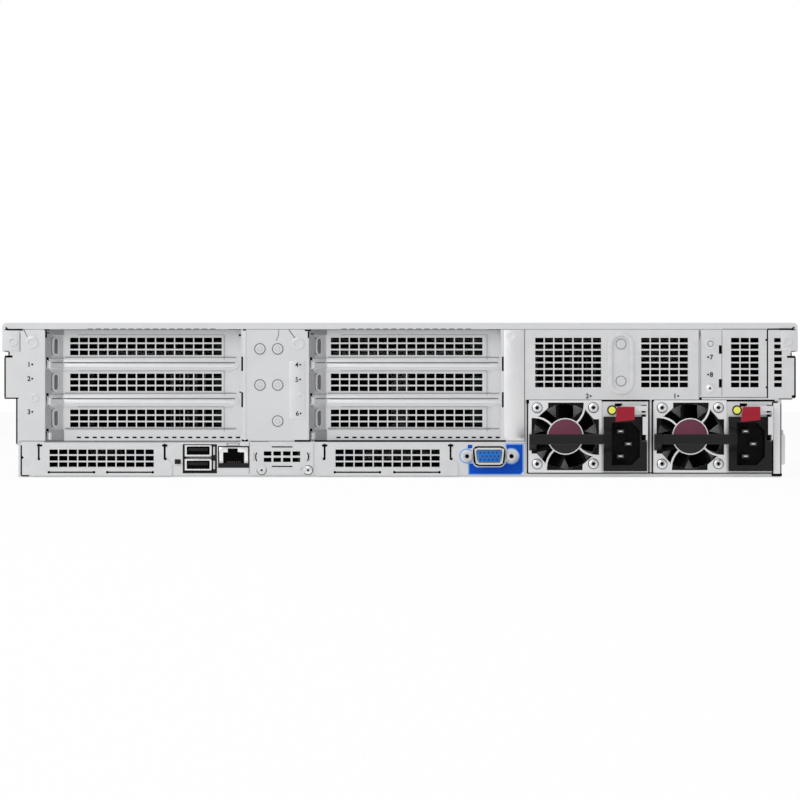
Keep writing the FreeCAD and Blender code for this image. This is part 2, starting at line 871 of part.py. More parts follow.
def wide_blank(name, centre):
    """One wide vented blank: ears at the foot, slits beside its raised middle."""
    body = new_body(name)
    face = across(body, name + "_face", rear - s.panel)
    corner = s.wide_blank_corner
    half = s.wide_blank_half
    waist = s.wide_blank_body_half
    low = s.wide_blank_bottom
    shoulder = s.wide_blank_shoulder
    outline(face, [
        (centre - half, low), (centre + half, low),
        (centre + half, shoulder - corner), (centre + half - corner, shoulder),
        (centre + waist, shoulder), (centre + waist, s.wide_blank_top),
        (centre - waist, s.wide_blank_top), (centre - waist, shoulder),
        (centre - half + corner, shoulder), (centre - half, shoulder - corner)])
    pad(body, face, s.panel, away=True)
    vent_block(body, name + "_holes", rear - s.panel, centre, s.wide_hole_centre,
               s.wide_hole_columns, s.wide_hole_rows)
    slits = across(body, name + "_slits", rear - s.panel)
    for side in (-1, 1):
        near = centre + s.foot_slit_near * side
        far = centre + s.foot_slit_far * side
        rectangle(slits, near, far, s.foot_slit_z - s.slit_height / 2,
                  s.foot_slit_z + s.slit_height / 2)
    pocket(body, slits, s.panel)
    return body


def lower_blanks():
    """The two wide blanks of the lower wall."""
    left = wide_blank("wide_blank_left", s.wide_blank_left_centre)
    right = wide_blank("wide_blank_right", s.wide_blank_right_centre)
    return keep(group("lower_blanks", [left, right]))


def serial_blank():
    """Small vented blank held by two screws."""
    body = new_body("serial_blank")
    face = across(body, "serial_face", rear - s.panel)
    rectangle(face, s.serial_left, s.serial_right, s.serial_bottom, s.serial_top)
    pad(body, face, s.panel, away=True)
    centre = (s.serial_left + s.serial_right) / 2
    vent_block(body, "serial_holes", rear - s.panel, centre, s.serial_hole_centre,
               s.serial_hole_columns, s.serial_hole_rows)
    holes = across(body, "serial_screw_holes", rear - s.panel)
    for x in (s.serial_left + s.serial_screw_inset, s.serial_right - s.serial_screw_inset):
        circle(holes, x, s.serial_screw_height, s.screw_radius / 2)
    pocket(body, holes, s.panel)
    slits = across(body, "serial_slits", rear - s.panel)
    half = s.slit_height / 2
    for side in (-1, 1):
        z = s.serial_hole_centre + s.serial_slit_spread * side
        rectangle(slits, centre - s.serial_slit_half, centre + s.serial_slit_half,
                  z - half, z + half)
        x = centre + s.serial_notch_spread * side
        rectangle(slits, x - half, x + half, s.serial_hole_centre - s.serial_notch_half,
                  s.serial_hole_centre + s.serial_notch_half)
    pocket(body, slits, s.panel)
    return keep(body)


def locator_button():
    """Small square push button in the lower wall."""
    half_width = s.locator_width / 2
    half_height = s.locator_height / 2
    return keep(block("locator_button",
                      (s.locator_x - half_width, s.locator_x + half_width),
                      (rear - 0.4, rear + s.locator_length),
                      (s.locator_z - half_height, s.locator_z + half_height)))


def usb_ports():
    """Two stacked port shells, each with its contact tongue, on one backing."""
    body = new_body("usb_ports")
    shells = across(body, "usb_shells", rear)
    left = s.usb_port_left
    right = left + s.usb_port_width
    for z in (s.usb_low_centre, s.usb_high_centre):
        rectangle(shells, left, right, z - s.usb_port_height / 2, z + s.usb_port_height / 2)
        rectangle(shells, left + s.usb_shell, right - s.usb_shell,
                  z - s.usb_port_height / 2 + s.usb_shell,
                  z + s.usb_port_height / 2 - s.usb_shell)
    pad(body, shells, s.usb_depth, away=True)
    backing = across(body, "usb_backing", rear + s.usb_depth)
    rectangle(backing, left, right, s.usb_low_centre - s.usb_port_height / 2,
              s.usb_high_centre + s.usb_port_height / 2)
    pad(body, backing, 1.5, away=True)
    tongues = across(body, "usb_tongues", rear + 1.5)
    for z in (s.usb_low_centre, s.usb_high_centre):
        top = z + s.usb_port_height / 2 - s.usb_shell - 0.7
        rectangle(tongues, left + 1.7, right - 1.7, top - s.usb_tongue, top)
    pad(body, tongues, s.usb_depth - 1.5, away=True)
    return keep(body)


def network_port():
    """Metal-cased jack with the stepped mouth of its plug and clip."""
    body = new_body("network_port")
    fit = s.wall_fit
    case = across(body, "network_case", rear)
    rectangle(case, s.network_left + fit, s.network_right - fit,
              s.network_bottom + fit, s.network_top - fit)
    pad(body, case, s.network_depth, away=True)
    centre = (s.network_left + s.network_right) / 2
    half = s.network_mouth / 2
    key = s.network_key / 2
    mouth = across(body, "network_mouth", rear)
    outline(mouth, [
        (centre - half, s.network_mouth_bottom), (centre + half, s.network_mouth_bottom),
        (centre + half, s.network_mouth_top), (centre + key, s.network_mouth_top),
        (centre + key, s.network_key_top), (centre - key, s.network_key_top),
        (centre - key, s.network_mouth_top), (centre - half, s.network_mouth_top)])
    pocket(body, mouth, s.network_mouth_depth)
    return keep(body)


def video_port():
    """Fifteen-way socket: slanted shell round its insert, flange plate and jack posts."""
    body = new_body("video_port")
    plate = across(body, "video_plate", rear + s.panel)
    rectangle(plate, s.video_x - s.video_plate_width / 2, s.video_x + s.video_plate_width / 2,
              s.video_z - s.video_plate_height / 2, s.video_z + s.video_plate_height / 2)
    pad(body, plate, 9, away=True)
    shell = across(body, "video_shell", rear + s.panel)
    for margin in (0, s.video_shell_wall):
        half_top = s.video_shell_width / 2 - margin
        half_low = half_top - s.video_shell_slant
        half_high = s.video_shell_height / 2 - margin
        outline(shell, [
            (s.video_x - half_low, s.video_z - half_high),
            (s.video_x + half_low, s.video_z - half_high),
            (s.video_x + half_top, s.video_z + half_high),
            (s.video_x - half_top, s.video_z + half_high)])
    pad(body, shell, s.video_reach + s.panel)
    insert = across(body, "video_insert", rear + s.panel)
    rectangle(insert, s.video_x - s.video_shell_width / 2 + 2,
              s.video_x + s.video_shell_width / 2 - 2,
              s.video_z - s.video_shell_height / 2 + 1,
              s.video_z + s.video_shell_height / 2 - 1)
    pad(body, insert, s.video_reach + s.panel - 0.8)
    shanks = across(body, "jack_shanks", rear + s.panel)
    heads = across(body, "jack_heads", rear)
    bores = across(body, "jack_bores", rear - s.jack_reach)
    for side in (-1, 1):
        x = s.video_x + s.video_screw_pitch / 2 * side
        circle(shanks, x, s.video_z, s.jack_shank_radius)
        hexagon(heads, x, s.video_z, s.jack_across_flats)
        circle(bores, x, s.video_z, s.jack_bore_radius)
    pad(body, shanks, s.panel)
    pad(body, heads, s.jack_reach)
    pocket(body, bores, s.jack_bore_depth)
    return keep(body)


def plan_of_cage(left, recess_left, recess_right, right):
    """Plan outline of a bent cage panel: flange, sloping wall, floor, end wall, flange."""
    floor = rear + s.recess_depth
    return [
        (left, rear), (recess_left, rear), (recess_left + s.recess_slope, floor),
        (recess_right - s.panel, floor), (recess_right - s.panel, rear), (right, rear),
        (right, rear + s.panel), (recess_right, rear + s.panel),
        (recess_right, floor + s.panel),
        (recess_left + s.recess_slope - slope_shift, floor + s.panel),
        (recess_left - slope_shift, rear + s.panel), (left, rear + s.panel)]


def slot_height(slot):
    """Centre height of one expansion slot, counted from the top."""
    return s.top_slot_z - s.slot_pitch * slot


def riser_cage(name, left, recess_left, recess_right, right):
    """Recessed cage panel with three slot windows, grooved bars, roof and side wall."""
    body = new_body(name)
    plan = level(body, name + "_plan", s.riser_bottom)
    outline(plan, plan_of_cage(left, recess_left, recess_right, right))
    pad(body, plan, s.riser_top - s.riser_bottom)

    roof = level(body, name + "_roof", s.riser_top - s.panel)
    rectangle(roof, recess_left + s.recess_slope, recess_right, rear + s.recess_depth,
              rear + s.riser_length)
    pad(body, roof, s.panel)
    wall = sideways(body, name + "_wall", recess_right - s.panel)
    rectangle(wall, rear + s.recess_depth, rear + s.riser_length,
              s.riser_bottom + 14, s.riser_top)
    pad(body, wall, s.panel)

    windows = across(body, name + "_windows", rear)
    for slot in range(int(s.slot_count.value)):
        z = slot_height(slot)
        rectangle(windows, recess_left + s.recess_slope / 3, recess_right - 6,
                  z - s.window_height / 2, z + s.window_height / 2)
    pocket(body, windows, s.recess_depth + s.panel * 2)
    beads = across(body, name + "_beads", rear + s.recess_depth)
    for bar in range(int(s.slot_count.value) - 1):
        z = slot_height(bar + 0.5)
        stadium(beads, (recess_left + s.recess_slope + 4, z), (recess_right - 8, z),
                s.bead_height / 2)
    pocket(body, beads, s.bead_depth)
    return body


def riser_cage_one():
    """Left riser cage; its flange is narrowed below the step of the chassis."""
    body = riser_cage("riser_cage_1", s.riser_one_left, s.riser_one_recess_left,
                      s.riser_one_recess_right, s.riser_one_right)
    notch = across(body, "riser_one_notch", rear)
    rectangle(notch, s.riser_one_left - 1, s.riser_one_lower_left,
              s.riser_bottom - 1, s.step_height)
    pocket(body, notch, s.panel)
    upper = across(body, "riser_one_upper_notch", rear)
    rectangle(upper, s.riser_one_left - 1, -s.joggle_half + s.wall_fit,
              s.joggle_height, s.riser_top + 1)
    pocket(body, upper, s.panel)
    return keep(body)


def riser_cage_two():
    """Middle riser cage."""
    body = riser_cage("riser_cage_2", s.riser_two_left, s.riser_two_recess_left,
                      s.riser_two_recess_right, s.riser_two_right)
    return keep(body)


def slot_blank(name, recess_left, recess_right, slot):
    """One vented slot blank: flat plate whose left end follows the sloping wall."""
    body = new_body(name)
    z = slot_height(slot)
    half = s.window_height / 2 + s.blank_overlap
    bend_x = recess_left + s.recess_slope - slope_shift
    bend_y = rear + s.recess_depth + s.panel
    run = s.recess_slope * 0.75
    drop = s.recess_depth * 0.75
    right = recess_right - s.panel - s.wall_fit
    plan = level(body, name + "_plan", z - half)
    outline(plan, [
        (bend_x - run, bend_y - drop), (bend_x, bend_y), (right, bend_y),
        (right, bend_y + s.panel), (bend_x - slope_shift, bend_y + s.panel),
        (bend_x - run - slope_shift, bend_y - drop + s.panel)])
    pad(body, plan, half * 2)
    centre = (recess_left + recess_right) / 2 + 0.6
    vent_block(body, name + "_holes", bend_y, centre, z,
               s.slot_hole_columns, s.slot_hole_rows)
    return body


def slot_blanks():
    """Six slot blanks, three in each of the recessed cages."""
    blanks = []
    edges = ((s.riser_one_recess_left, s.riser_one_recess_right),
             (s.riser_two_recess_left, s.riser_two_recess_right))
    for cage, (left, right) in enumerate(edges):
        for slot in range(int(s.slot_count.value)):
            number = cage * int(s.slot_count.value) + slot + 1
            blanks.append(slot_blank(f"slot_blank_{number}", left, right, slot))
    return keep(group("slot_blanks", blanks))


def riser_boards():
    """Upright boards of the two full cages, each with one socket per slot."""
    boards = []
    for number, recess_right in ((1, s.riser_one_recess_right), (2, s.riser_two_recess_right)):
        face = recess_right - s.panel - s.card_inset
        start = rear + s.card_start
        pieces = [block(f"riser_board_{number}", (face - s.card_board, face),
                        (start, start + s.card_length),
                        (board_top + s.card_slot_reach, s.riser_top - s.panel - 2))]
        for slot in range(int(s.slot_count.value)):
            z = slot_height(slot)
            pieces.append(block(f"riser_socket_{number}_{slot + 1}",
                                (face - s.card_board - s.card_slot_reach, face - s.card_board),
                                (start + s.card_slot_start,
                                 start + s.card_slot_start + s.card_slot_length),
                                (z - s.card_slot_width / 2, z + s.card_slot_width / 2)))
        boards.append(joined(f"riser_card_{number}", pieces))
    return keep(group("riser_boards", boards))


def rear_upper_panel():
    """Fixed upper panel: vent blocks, pressed hollow, window for the third riser."""
    body = new_body("rear_upper_panel")
    right = s.high_half - s.wall_fit
    upper_right = s.joggle_half - s.wall_fit
    gap = s.upper_gap
    face = across(body, "upper_face", rear)
    outline(face, [
        (s.upper_left, s.upper_bottom), (right - 2, s.upper_bottom),
        (right, s.upper_bottom + 2), (right, s.joggle_height),
        (upper_right, s.joggle_height), (upper_right, s.riser_top),
        (s.riser_three_right + gap, s.riser_top),
        (s.riser_three_right + gap, s.upper_bottom + 1.2),
        (s.riser_three_left - gap, s.upper_bottom + 1.2),
        (s.riser_three_left - gap, s.riser_top), (s.upper_left, s.riser_top)])
    pad(body, face, s.panel, away=True)
    low_end = (s.press_centre, s.upper_row_centre - s.press_half_length)
    high_end = (s.press_centre, s.upper_row_centre + s.press_half_length)
    behind = across(body, "press_back", rear + s.panel)
    stadium(behind, low_end, high_end, s.press_radius + s.panel)
    pad(body, behind, s.press_depth, away=True)
    hollow = across(body, "press_hollow", rear)
    stadium(hollow, low_end, high_end, s.press_radius)
    pocket(body, hollow, s.press_depth)
    foot = level(body, "upper_foot", s.upper_bottom)
    rectangle(foot, s.upper_left, s.low_half - s.sheet - s.wall_fit, rear,
              rear + s.flange_depth)
    pad(body, foot, s.panel)
    blocks = (("upper_block_a", s.block_a_centre, s.block_a_columns),
              ("upper_block_b", s.block_b_centre, s.block_b_columns),
              ("upper_block_d", s.block_d_centre, 1))
    for name, centre, columns in blocks:
        vent_block(body, name, rear, centre, s.upper_row_centre, columns, upper_rows())
    return keep(body)


def upper_rows():
    """Rows of vent holes that fit between the upper panel's margins."""
    room = s.riser_top - s.upper_bottom - s.upper_margin * 2
    return int(room.value / s.vent_pitch_up.value + 0.01)


def riser_cage_three():
    """Narrow third riser cage, closed by its own vented plate."""
    body = new_body("riser_cage_3")
    left = s.riser_three_left
    right = s.riser_three_right
    bottom = s.upper_bottom + s.upper_gap + 1.2
    face = across(body, "riser_three_face", rear)
    rectangle(face, left, right, bottom, s.riser_top)
    pad(body, face, s.panel, away=True)
    roof = level(body, "riser_three_roof", s.riser_top - s.panel)
    rectangle(roof, left, right, rear, rear + s.riser_length)
    pad(body, roof, s.panel)
    wall = sideways(body, "riser_three_wall", left)
    rectangle(wall, rear, rear + s.riser_length, bottom, s.riser_top)
    pad(body, wall, s.panel)
    vent_block(body, "riser_three_holes", rear, s.block_c_centre, s.upper_row_centre,
               s.block_c_columns, upper_rows())
    slits = across(body, "riser_three_slits", rear)
    slit_left = left + s.riser_slit_inset
    for side in (-1, 1):
        z = s.upper_row_centre - s.riser_slit_drop + s.riser_slit_spread * side
        rectangle(slits, slit_left, slit_left + s.riser_slit_width,
                  z - s.riser_slit_half, z + s.riser_slit_half)
    pocket(body, slits, s.panel)
    return keep(body)


def rear_fasteners():
    """Rivets of the cage plate and pressed hollow, and the serial blank's screws."""
    pieces = []
    rivets = []
    for slot in range(int(s.slot_count.value)):
        z = slot_height(slot) - s.rivet_drop
        rivets.append((s.riser_two_recess_left - s.rivet_near, z))
        if slot < 2:
            rivets.append((s.riser_two_recess_left - s.rivet_far, z))
    for index, (x, z) in enumerate(rivets, start=1):
        pieces.append(rod(f"cage_rivet_{index}", (x, rear - s.rivet_rise, z), "Y",
                          s.rivet_radius, s.rivet_rise))
    for index, turn in enumerate((-1, 1), start=1):
        pieces.append(rod(f"press_rivet_{index}",
                          (s.press_centre, rear + s.press_depth - s.rivet_rise,
                           s.upper_row_centre + s.press_half_length * turn), "Y",
                          s.rivet_radius - s.rivet_shy, s.rivet_rise))
    screw_face = rear - s.panel - s.screw_rise
    screws = (s.serial_left + s.serial_screw_inset, s.serial_right - s.serial_screw_inset)
    for index, x in enumerate(screws, start=1):
        head = rod(f"serial_screw_{index}", (x, screw_face, s.serial_screw_height), "Y",
                   s.screw_radius, s.screw_rise)
        socket = rod(f"serial_screw_socket_{index}", (x, screw_face, s.serial_screw_height),
                     "Y", s.hex_radius, s.screw_rise - 0.3)
        pieces.append(cut(f"serial_screw_head_{index}", head, socket))
    return keep(group("rear_fasteners", pieces))


def psu_cage():
    """Bay for the two power supplies: roof, left wall, divider, right wall, runners."""
    length = (base_rear, base_rear + s.bay_length)
    middle = (s.psu_left_x + s.psu_right_x) / 2
    right = s.low_half - s.sheet
    floor = s.sheet
    pieces = [
        block("bay_roof", (s.bay_left - s.panel, right), length,
              (s.bay_roof, s.bay_roof + s.bay_sheet)),
        block("bay_left_wall", (s.bay_left - s.panel, s.bay_left), length,
              (floor, s.bay_roof)),
        block("bay_divider", (middle - s.panel / 2, middle + s.panel / 2), length,
              (floor, s.bay_roof)),
        block("bay_right_wall", (right - s.panel, right), length, (floor, s.bay_roof)),
    ]
    for name, centre in (("left", s.psu_left_x), ("right", s.psu_right_x)):
        for side, turn in (("near", -1), ("far", 1)):
            x = centre + (s.psu_half - s.psu_runner_width) * turn
            pieces.append(block(f"bay_runner_{name}_{side}",
                                (x - s.psu_runner_width / 2, x + s.psu_runner_width / 2),
                                length, (floor, s.psu_bottom - s.psu_runner_gap)))
    base = block("bay_floor", (s.bay_left - s.panel, right), length,
                 (floor, floor + s.bay_sheet))
    return keep(joined("psu_cage", pieces + [base]))


def power_supply(name, centre):
    """One hot-plug power supply: seven nodes on the same centre line."""
    low = s.psu_bottom
    high = low + s.psu_height
    fan_x = centre + s.fan_offset

    case = new_body(f"{name}_case")
    section = across(case, f"{name}_section", rear)
    rectangle(section, centre - s.psu_half, centre + s.psu_half, low, high)
    pad(case, section, s.psu_length, away=True)
    bore = across(case, f"{name}_bore", rear)
    circle(bore, fan_x, s.fan_height, s.psu_fan_bore)
    pocket(case, bore, s.psu_fan_depth)
    inlet_bay = across(case, f"{name}_inlet_bay", rear)
    outline(inlet_bay, inlet_outline(centre, 0.1))
    pocket(case, inlet_bay, s.inlet_depth + 0.1)
    slot = across(case, f"{name}_lever_slot", rear)
    rectangle(slot, centre + s.lever_slot_left, centre + s.lever_slot_right,
              s.lever_bottom - s.lever_slot_margin, s.lever_top + s.lever_slot_margin)
    pocket(case, slot, s.lever_pocket)
    seat_low = s.lever_bottom - s.lever_slot_margin - s.lever_pin_seat
    seat_high = s.lever_top + s.lever_slot_margin + s.lever_pin_seat
    seat = level(case, f"{name}_lever_seat", seat_low)
    circle(seat, lever_x(centre), rear + s.lever_pivot, s.lever_pin_radius + s.pin_clearance)
    pocket(case, seat, seat_high - seat_low, away=True)
    light = across(case, f"{name}_light_hole", rear)
    circle(light, centre + s.led_offset, s.led_height, s.led_radius + 0.1)
    pocket(case, light, s.led_depth)
    keep(case)

    guard(name, fan_x)
    keep(rod(f"{name}_indicator", (centre + s.led_offset, rear - s.led_rise, s.led_height),
             "Y", s.led_radius, s.led_depth + s.led_rise))
    inlet(name, centre)
    release_lever(name, centre)
    rotor(f"{name}_fan_rotor", fan_x, rear + s.psu_rotor_start, s.fan_height,
          s.psu_hub_radius, s.psu_blade_tip, s.psu_rotor_length)


def inlet_outline(centre, fit):
    """Rear outline of the inlet moulding, notched for the lever, grown by a fit."""
    low = s.psu_bottom + 0.9 - fit
    left = centre + s.inlet_left - fit
    right = centre + s.inlet_right - 0.1 + fit
    notch_x = centre + s.inlet_upper_right + fit
    notch_z = s.inlet_notch_z - 0.3 + fit
    top = s.inlet_top + fit
    return [(left, low), (right, low), (right, notch_z), (notch_x, notch_z),
            (notch_x, top), (left, top)]


def lever_x(centre):
    """Middle of the release lever's arm and pin."""
    return centre + s.lever_slot_right - 0.1 - s.lever_plate / 2


def guard(name, fan_x):
    """Stamped fan guard: rim, corner gussets, four curved spokes and a hub disc."""
    body = new_body(f"{name}_fan_guard")
    bind_place(body, fan_x, rear - s.guard_plate, s.fan_height)
    half = s.guard_half
    face = across(body, f"{name}_rim", 0)
    rectangle(face, -half, half, -half, half)
    pad(body, face, s.guard_plate, away=True)
    opening = across(body, f"{name}_opening", 0)
    inner = half - s.guard_rim
    corner = [(-s.gusset_width, inner), (-s.gusset_width, s.gusset_shoulder),
              (-s.gusset_near, s.gusset_far), (-inner, s.gusset_end)]
    edge = []
    for _ in range(4):
        edge.extend(corner)
        corner = [(-y, x) for x, y in corner]
    outline(opening, edge)
    pocket(body, opening, s.guard_plate)
    hub = across(body, f"{name}_hub", 0)
    circle(hub, 0, 0, s.guard_hub)
    pad(body, hub, s.guard_plate, away=True)

    spoke = across(body, f"{name}_spoke", 0)
    outer_edge = spoke_edge(s.spoke_bend + s.spoke_width / 2)
    inner_edge = spoke_edge(s.spoke_bend - s.spoke_width / 2)
    outline(spoke, outer_edge + list(reversed(inner_edge)))
    first_spoke = pad(body, spoke, s.guard_plate, away=True)
    spokes = body.newObject("PartDesign::PolarPattern", f"{name}_spokes")
    spokes.Originals = [first_spoke]
    spokes.Axis = (spoke, ["N_Axis"])
    spokes.Angle = 360
    spokes.Occurrences = 4
    body.Tip = spokes
    return keep(body)


def spoke_edge(radius):
    """One long edge of a spoke: down from the rim, then round its bend to the hub."""
    centre_x = s.spoke_root_x - s.spoke_bend
    edge = [(centre_x + radius, s.guard_half - s.guard_rim / 2)]
    for degrees in (0, 12, 24, 36, 50):
        angle = math.radians(degrees)
        edge.append((centre_x + radius * math.cos(angle),
                     s.spoke_bend_height - radius * math.sin(angle)))
    return edge


def inlet(name, centre):
    """Moulding with the mains socket and the pull handle in one, and its three pins."""
    body = new_body(f"{name}_inlet")
    face = across(body, f"{name}_inlet_face", rear - s.inlet_reach)
    outline(face, inlet_outline(centre, 0))
    pad(body, face, s.inlet_reach + s.inlet_depth, away=True)
    cavity = across(body, f"{name}_cavity", rear - s.inlet_reach)
    cx = centre + s.cavity_centre
    half_width = s.cavity_width / 2
    half_height = s.cavity_height / 2
    chamfer = s.cavity_chamfer
    outline(cavity, [
        (cx - half_width, s.cavity_z - half_height),
        (cx + half_width - chamfer, s.cavity_z - half_height),
        (cx + half_width, s.cavity_z - half_height + chamfer),
        (cx + half_width, s.cavity_z + half_height - chamfer),
        (cx + half_width - chamfer, s.cavity_z + half_height),
        (cx - half_width, s.cavity_z + half_height)])
    pocket(body, cavity, s.cavity_depth)

    guard_face = rear - s.guard_plate
    outer = rear - s.handle_reach
    inner = outer + s.handle_bar
    far = centre + s.fan_offset - s.guard_half
    near = centre + s.cavity_centre - s.cavity_width / 2 - 0.5
    bend = s.handle_corner
    half_bend = s.handle_corner * 0.6
    grip = level(body, f"{name}_grip", s.handle_z - s.handle_height / 2)
    outline(grip, [
        (far, guard_face), (far, outer + bend), (far + bend, outer),
        (near - bend, outer), (near, outer + bend), (near, rear - s.inlet_reach),
        (near - s.handle_bar, rear - s.inlet_reach),
        (near - s.handle_bar, inner + half_bend), (near - s.handle_bar - half_bend, inner),
        (far + s.handle_bar + half_bend, inner), (far + s.handle_bar, inner + half_bend),
        (far + s.handle_bar, guard_face)])
    bar = pad(body, grip, s.handle_height)
    rounded(body, f"{name}_grip_edges", bar, s.handle_edge,
            lambda end: abs(end.y - outer.value) < 0.01)
    for side, edge, base in (("far", far, guard_face),
                             ("near", near - s.handle_bar, rear - s.inlet_reach)):
        foot = sideways(body, f"{name}_foot_{side}", edge)
        tip = base - s.handle_foot_length
        half = s.handle_height / 2
        rise = s.handle_foot_rise
        upper_rise = rise if side == "near" else 0
        outline(foot, [
            (base, s.handle_z - half - rise), (base, s.handle_z + half + upper_rise),
            (tip, s.handle_z + half), (tip, s.handle_z - half)])
        pad(body, foot, s.handle_bar)
    keep(body)

    pins = []
    root = rear - s.inlet_reach + s.cavity_depth
    places = ((-s.inlet_pin_offset, s.inlet_pin_pitch), (s.inlet_pin_offset, s.inlet_pin_pitch * 0),
              (-s.inlet_pin_offset, -s.inlet_pin_pitch))
    for index, (x, z) in enumerate(places, start=1):
        px = cx - 0.6 + x
        pz = s.cavity_z + z
        pins.append(block(f"{name}_pin_{index}",
                          (px - s.inlet_pin_width / 2, px + s.inlet_pin_width / 2),
                          (root - s.inlet_pin_reach, root),
                          (pz - s.inlet_pin_thickness / 2, pz + s.inlet_pin_thickness / 2)))
    keep(group(f"{name}_inlet_pins", pins))


def release_lever(name, centre):
    """Spring-steel side arm on a pin, with the thumb tab at its outer end."""
    body = new_body(f"{name}_release_lever")
    arm_left = lever_x(centre) - s.lever_plate / 2
    arm_right = lever_x(centre) + s.lever_plate / 2
    outer = rear - s.inlet_reach - s.lever_reach
    pivot = rear + s.lever_pivot
    side = sideways(body, f"{name}_arm", arm_left)
    outline(side, [
        (pivot, s.lever_bottom), (pivot, s.lever_top), (outer, s.lever_top),
        (outer, s.lever_bottom + 3), (outer + 3, s.lever_bottom)])
    pad(body, side, s.lever_plate)
    fold = across(body, f"{name}_fold", outer)
    rectangle(fold, arm_right - s.lever_fold, arm_right, s.lever_bottom + 3,
              s.lever_fold_top)
    rectangle(fold, centre + s.tab_left + 3, arm_right, s.lever_top - 2.8, s.lever_top)
    pad(body, fold, s.lever_plate, away=True)
    tab = across(body, f"{name}_tab", outer - s.tab_thickness + s.lever_plate)
    outline(tab, [
        (centre + s.tab_left, s.tab_bottom), (centre + s.tab_right, s.tab_bottom + 1),
        (centre + s.tab_right, s.tab_top), (centre + s.tab_left + 1, s.tab_top)])
    pad(body, tab, s.tab_thickness, away=True)
    seat = s.lever_slot_margin + s.lever_pin_seat - 0.1
    pin = level(body, f"{name}_lever_pin", s.lever_bottom - seat)
    circle(pin, lever_x(centre), pivot, s.lever_pin_radius)
    pad(body, pin, s.lever_top - s.lever_bottom + seat * 2)
    return keep(body)


def rotor(name, x, y, z, hub_radius, tip_radius, length):
    """Fan rotor: a capped hub with flat pitched blades, trimmed round at their tips."""
    body = new_body(name)
    bind_place(body, x, y, z)
    hub = across(body, f"{name}_hub", 0)
    circle(hub, 0, 0, hub_radius)
    pad(body, hub, length, away=True)
    root = hub_radius - s.blade_root
    start = length * s.blade_margin
    end = length * (1 - s.blade_margin)
    lean = length * s.blade_lean
    thick = s.blade_thickness / 2
    section = level(body, f"{name}_blade_section", root)
    outline(section, [
        (-lean - thick, start), (-lean + thick, start),
        (lean + thick, end), (lean - thick, end)])
    blade = pad(body, section, tip_radius + s.blade_root - root)
    blades = body.newObject("PartDesign::PolarPattern", f"{name}_blades")
    blades.Originals = [blade]
    blades.Axis = (hub, ["N_Axis"])
    blades.Angle = 360
    bind(blades, "Occurrences", s.blade_count)
    body.Tip = blades
    trim = across(body, f"{name}_tip_trim", 0)
    circle(trim, 0, 0, tip_radius)
    circle(trim, 0, 0, tip_radius + s.blade_root * 2)
    pocket(body, trim, length)
    return keep(body)


def fan_place(index):
    """Centre line of one cooling fan, counted from the left."""
    return s.fan_pitch * (index - (s.fan_count.value - 1) / 2)


def fan_frames():
    """Square fan frames with a round duct and a motor plate on four struts."""
    frames = []
    for index in range(int(s.fan_count.value)):
        x = fan_place(index)
        body = new_body(f"fan_frame_{index + 1}")
        half = s.fan_side / 2
        square = across(body, f"fan_square_{index + 1}", fan_rear)
        rectangle(square, x - half, x + half, fan_centre_z - half, fan_centre_z + half)
        circle(square, x, fan_centre_z, s.fan_bore)
        pad(body, square, s.fan_thickness, away=True)
        plate = across(body, f"fan_motor_{index + 1}", fan_rear)
        circle(plate, x, fan_centre_z, s.fan_hub_radius)
        pad(body, plate, s.fan_motor_plate, away=True)
        for direction, wide, tall in (("flat", s.fan_bore + 0.5, s.fan_strut / 2),
                                      ("upright", s.fan_strut / 2, s.fan_bore + 0.5)):
            strut = across(body, f"fan_strut_{direction}_{index + 1}", fan_rear)
            rectangle(strut, x - wide, x + wide, fan_centre_z - tall, fan_centre_z + tall)
            pad(body, strut, s.fan_motor_plate, away=True)
        frames.append(body)
    return keep(group("fan_frames", frames))


def fan_rotors():
    """One rotor in each fan frame."""
    start = fan_rear + s.fan_motor_plate + 1
    for index in range(int(s.fan_count.value)):
        rotor(f"fan_rotor_{index + 1}", fan_place(index), start, fan_centre_z,
              s.fan_hub_radius, s.fan_blade_tip, s.fan_rotor_length)


def fan_cage():
    """Fan wall: front and rear faces with a window per fan, on one floor plate."""
    body = new_body("fan_cage")
    half = s.fan_cage_half
    faces = (("fan_wall_rear", fan_rear - s.panel),
             ("fan_wall_front", fan_rear + s.fan_thickness))
    for name, y in faces:
        wall = across(body, name, y)
        rectangle(wall, -half, half, s.sheet, s.fan_cage_height)
        pad(body, wall, s.panel, away=True)
    floor = level(body, "fan_floor", s.sheet)
    rectangle(floor, -half, half, fan_rear - s.panel, fan_rear + s.fan_thickness + s.panel)
    pad(body, floor, s.panel)
    shelf = level(body, "fan_shelf", s.fan_bottom - s.panel)
    rectangle(shelf, -half, half, fan_rear - s.panel, fan_rear + s.fan_thickness + s.panel)
    pad(body, shelf, s.panel)
    windows = across(body, "fan_windows", fan_rear - s.panel)
    x = fan_place(0)
    reach = s.fan_window / 2
    rectangle(windows, x - reach, x + reach, fan_centre_z - reach, fan_centre_z + reach)
    openings = pocket(body, windows, s.fan_thickness + s.panel * 2)
    row_of(body, openings, "H_Axis", s.fan_pitch, s.fan_count)
    return keep(body)


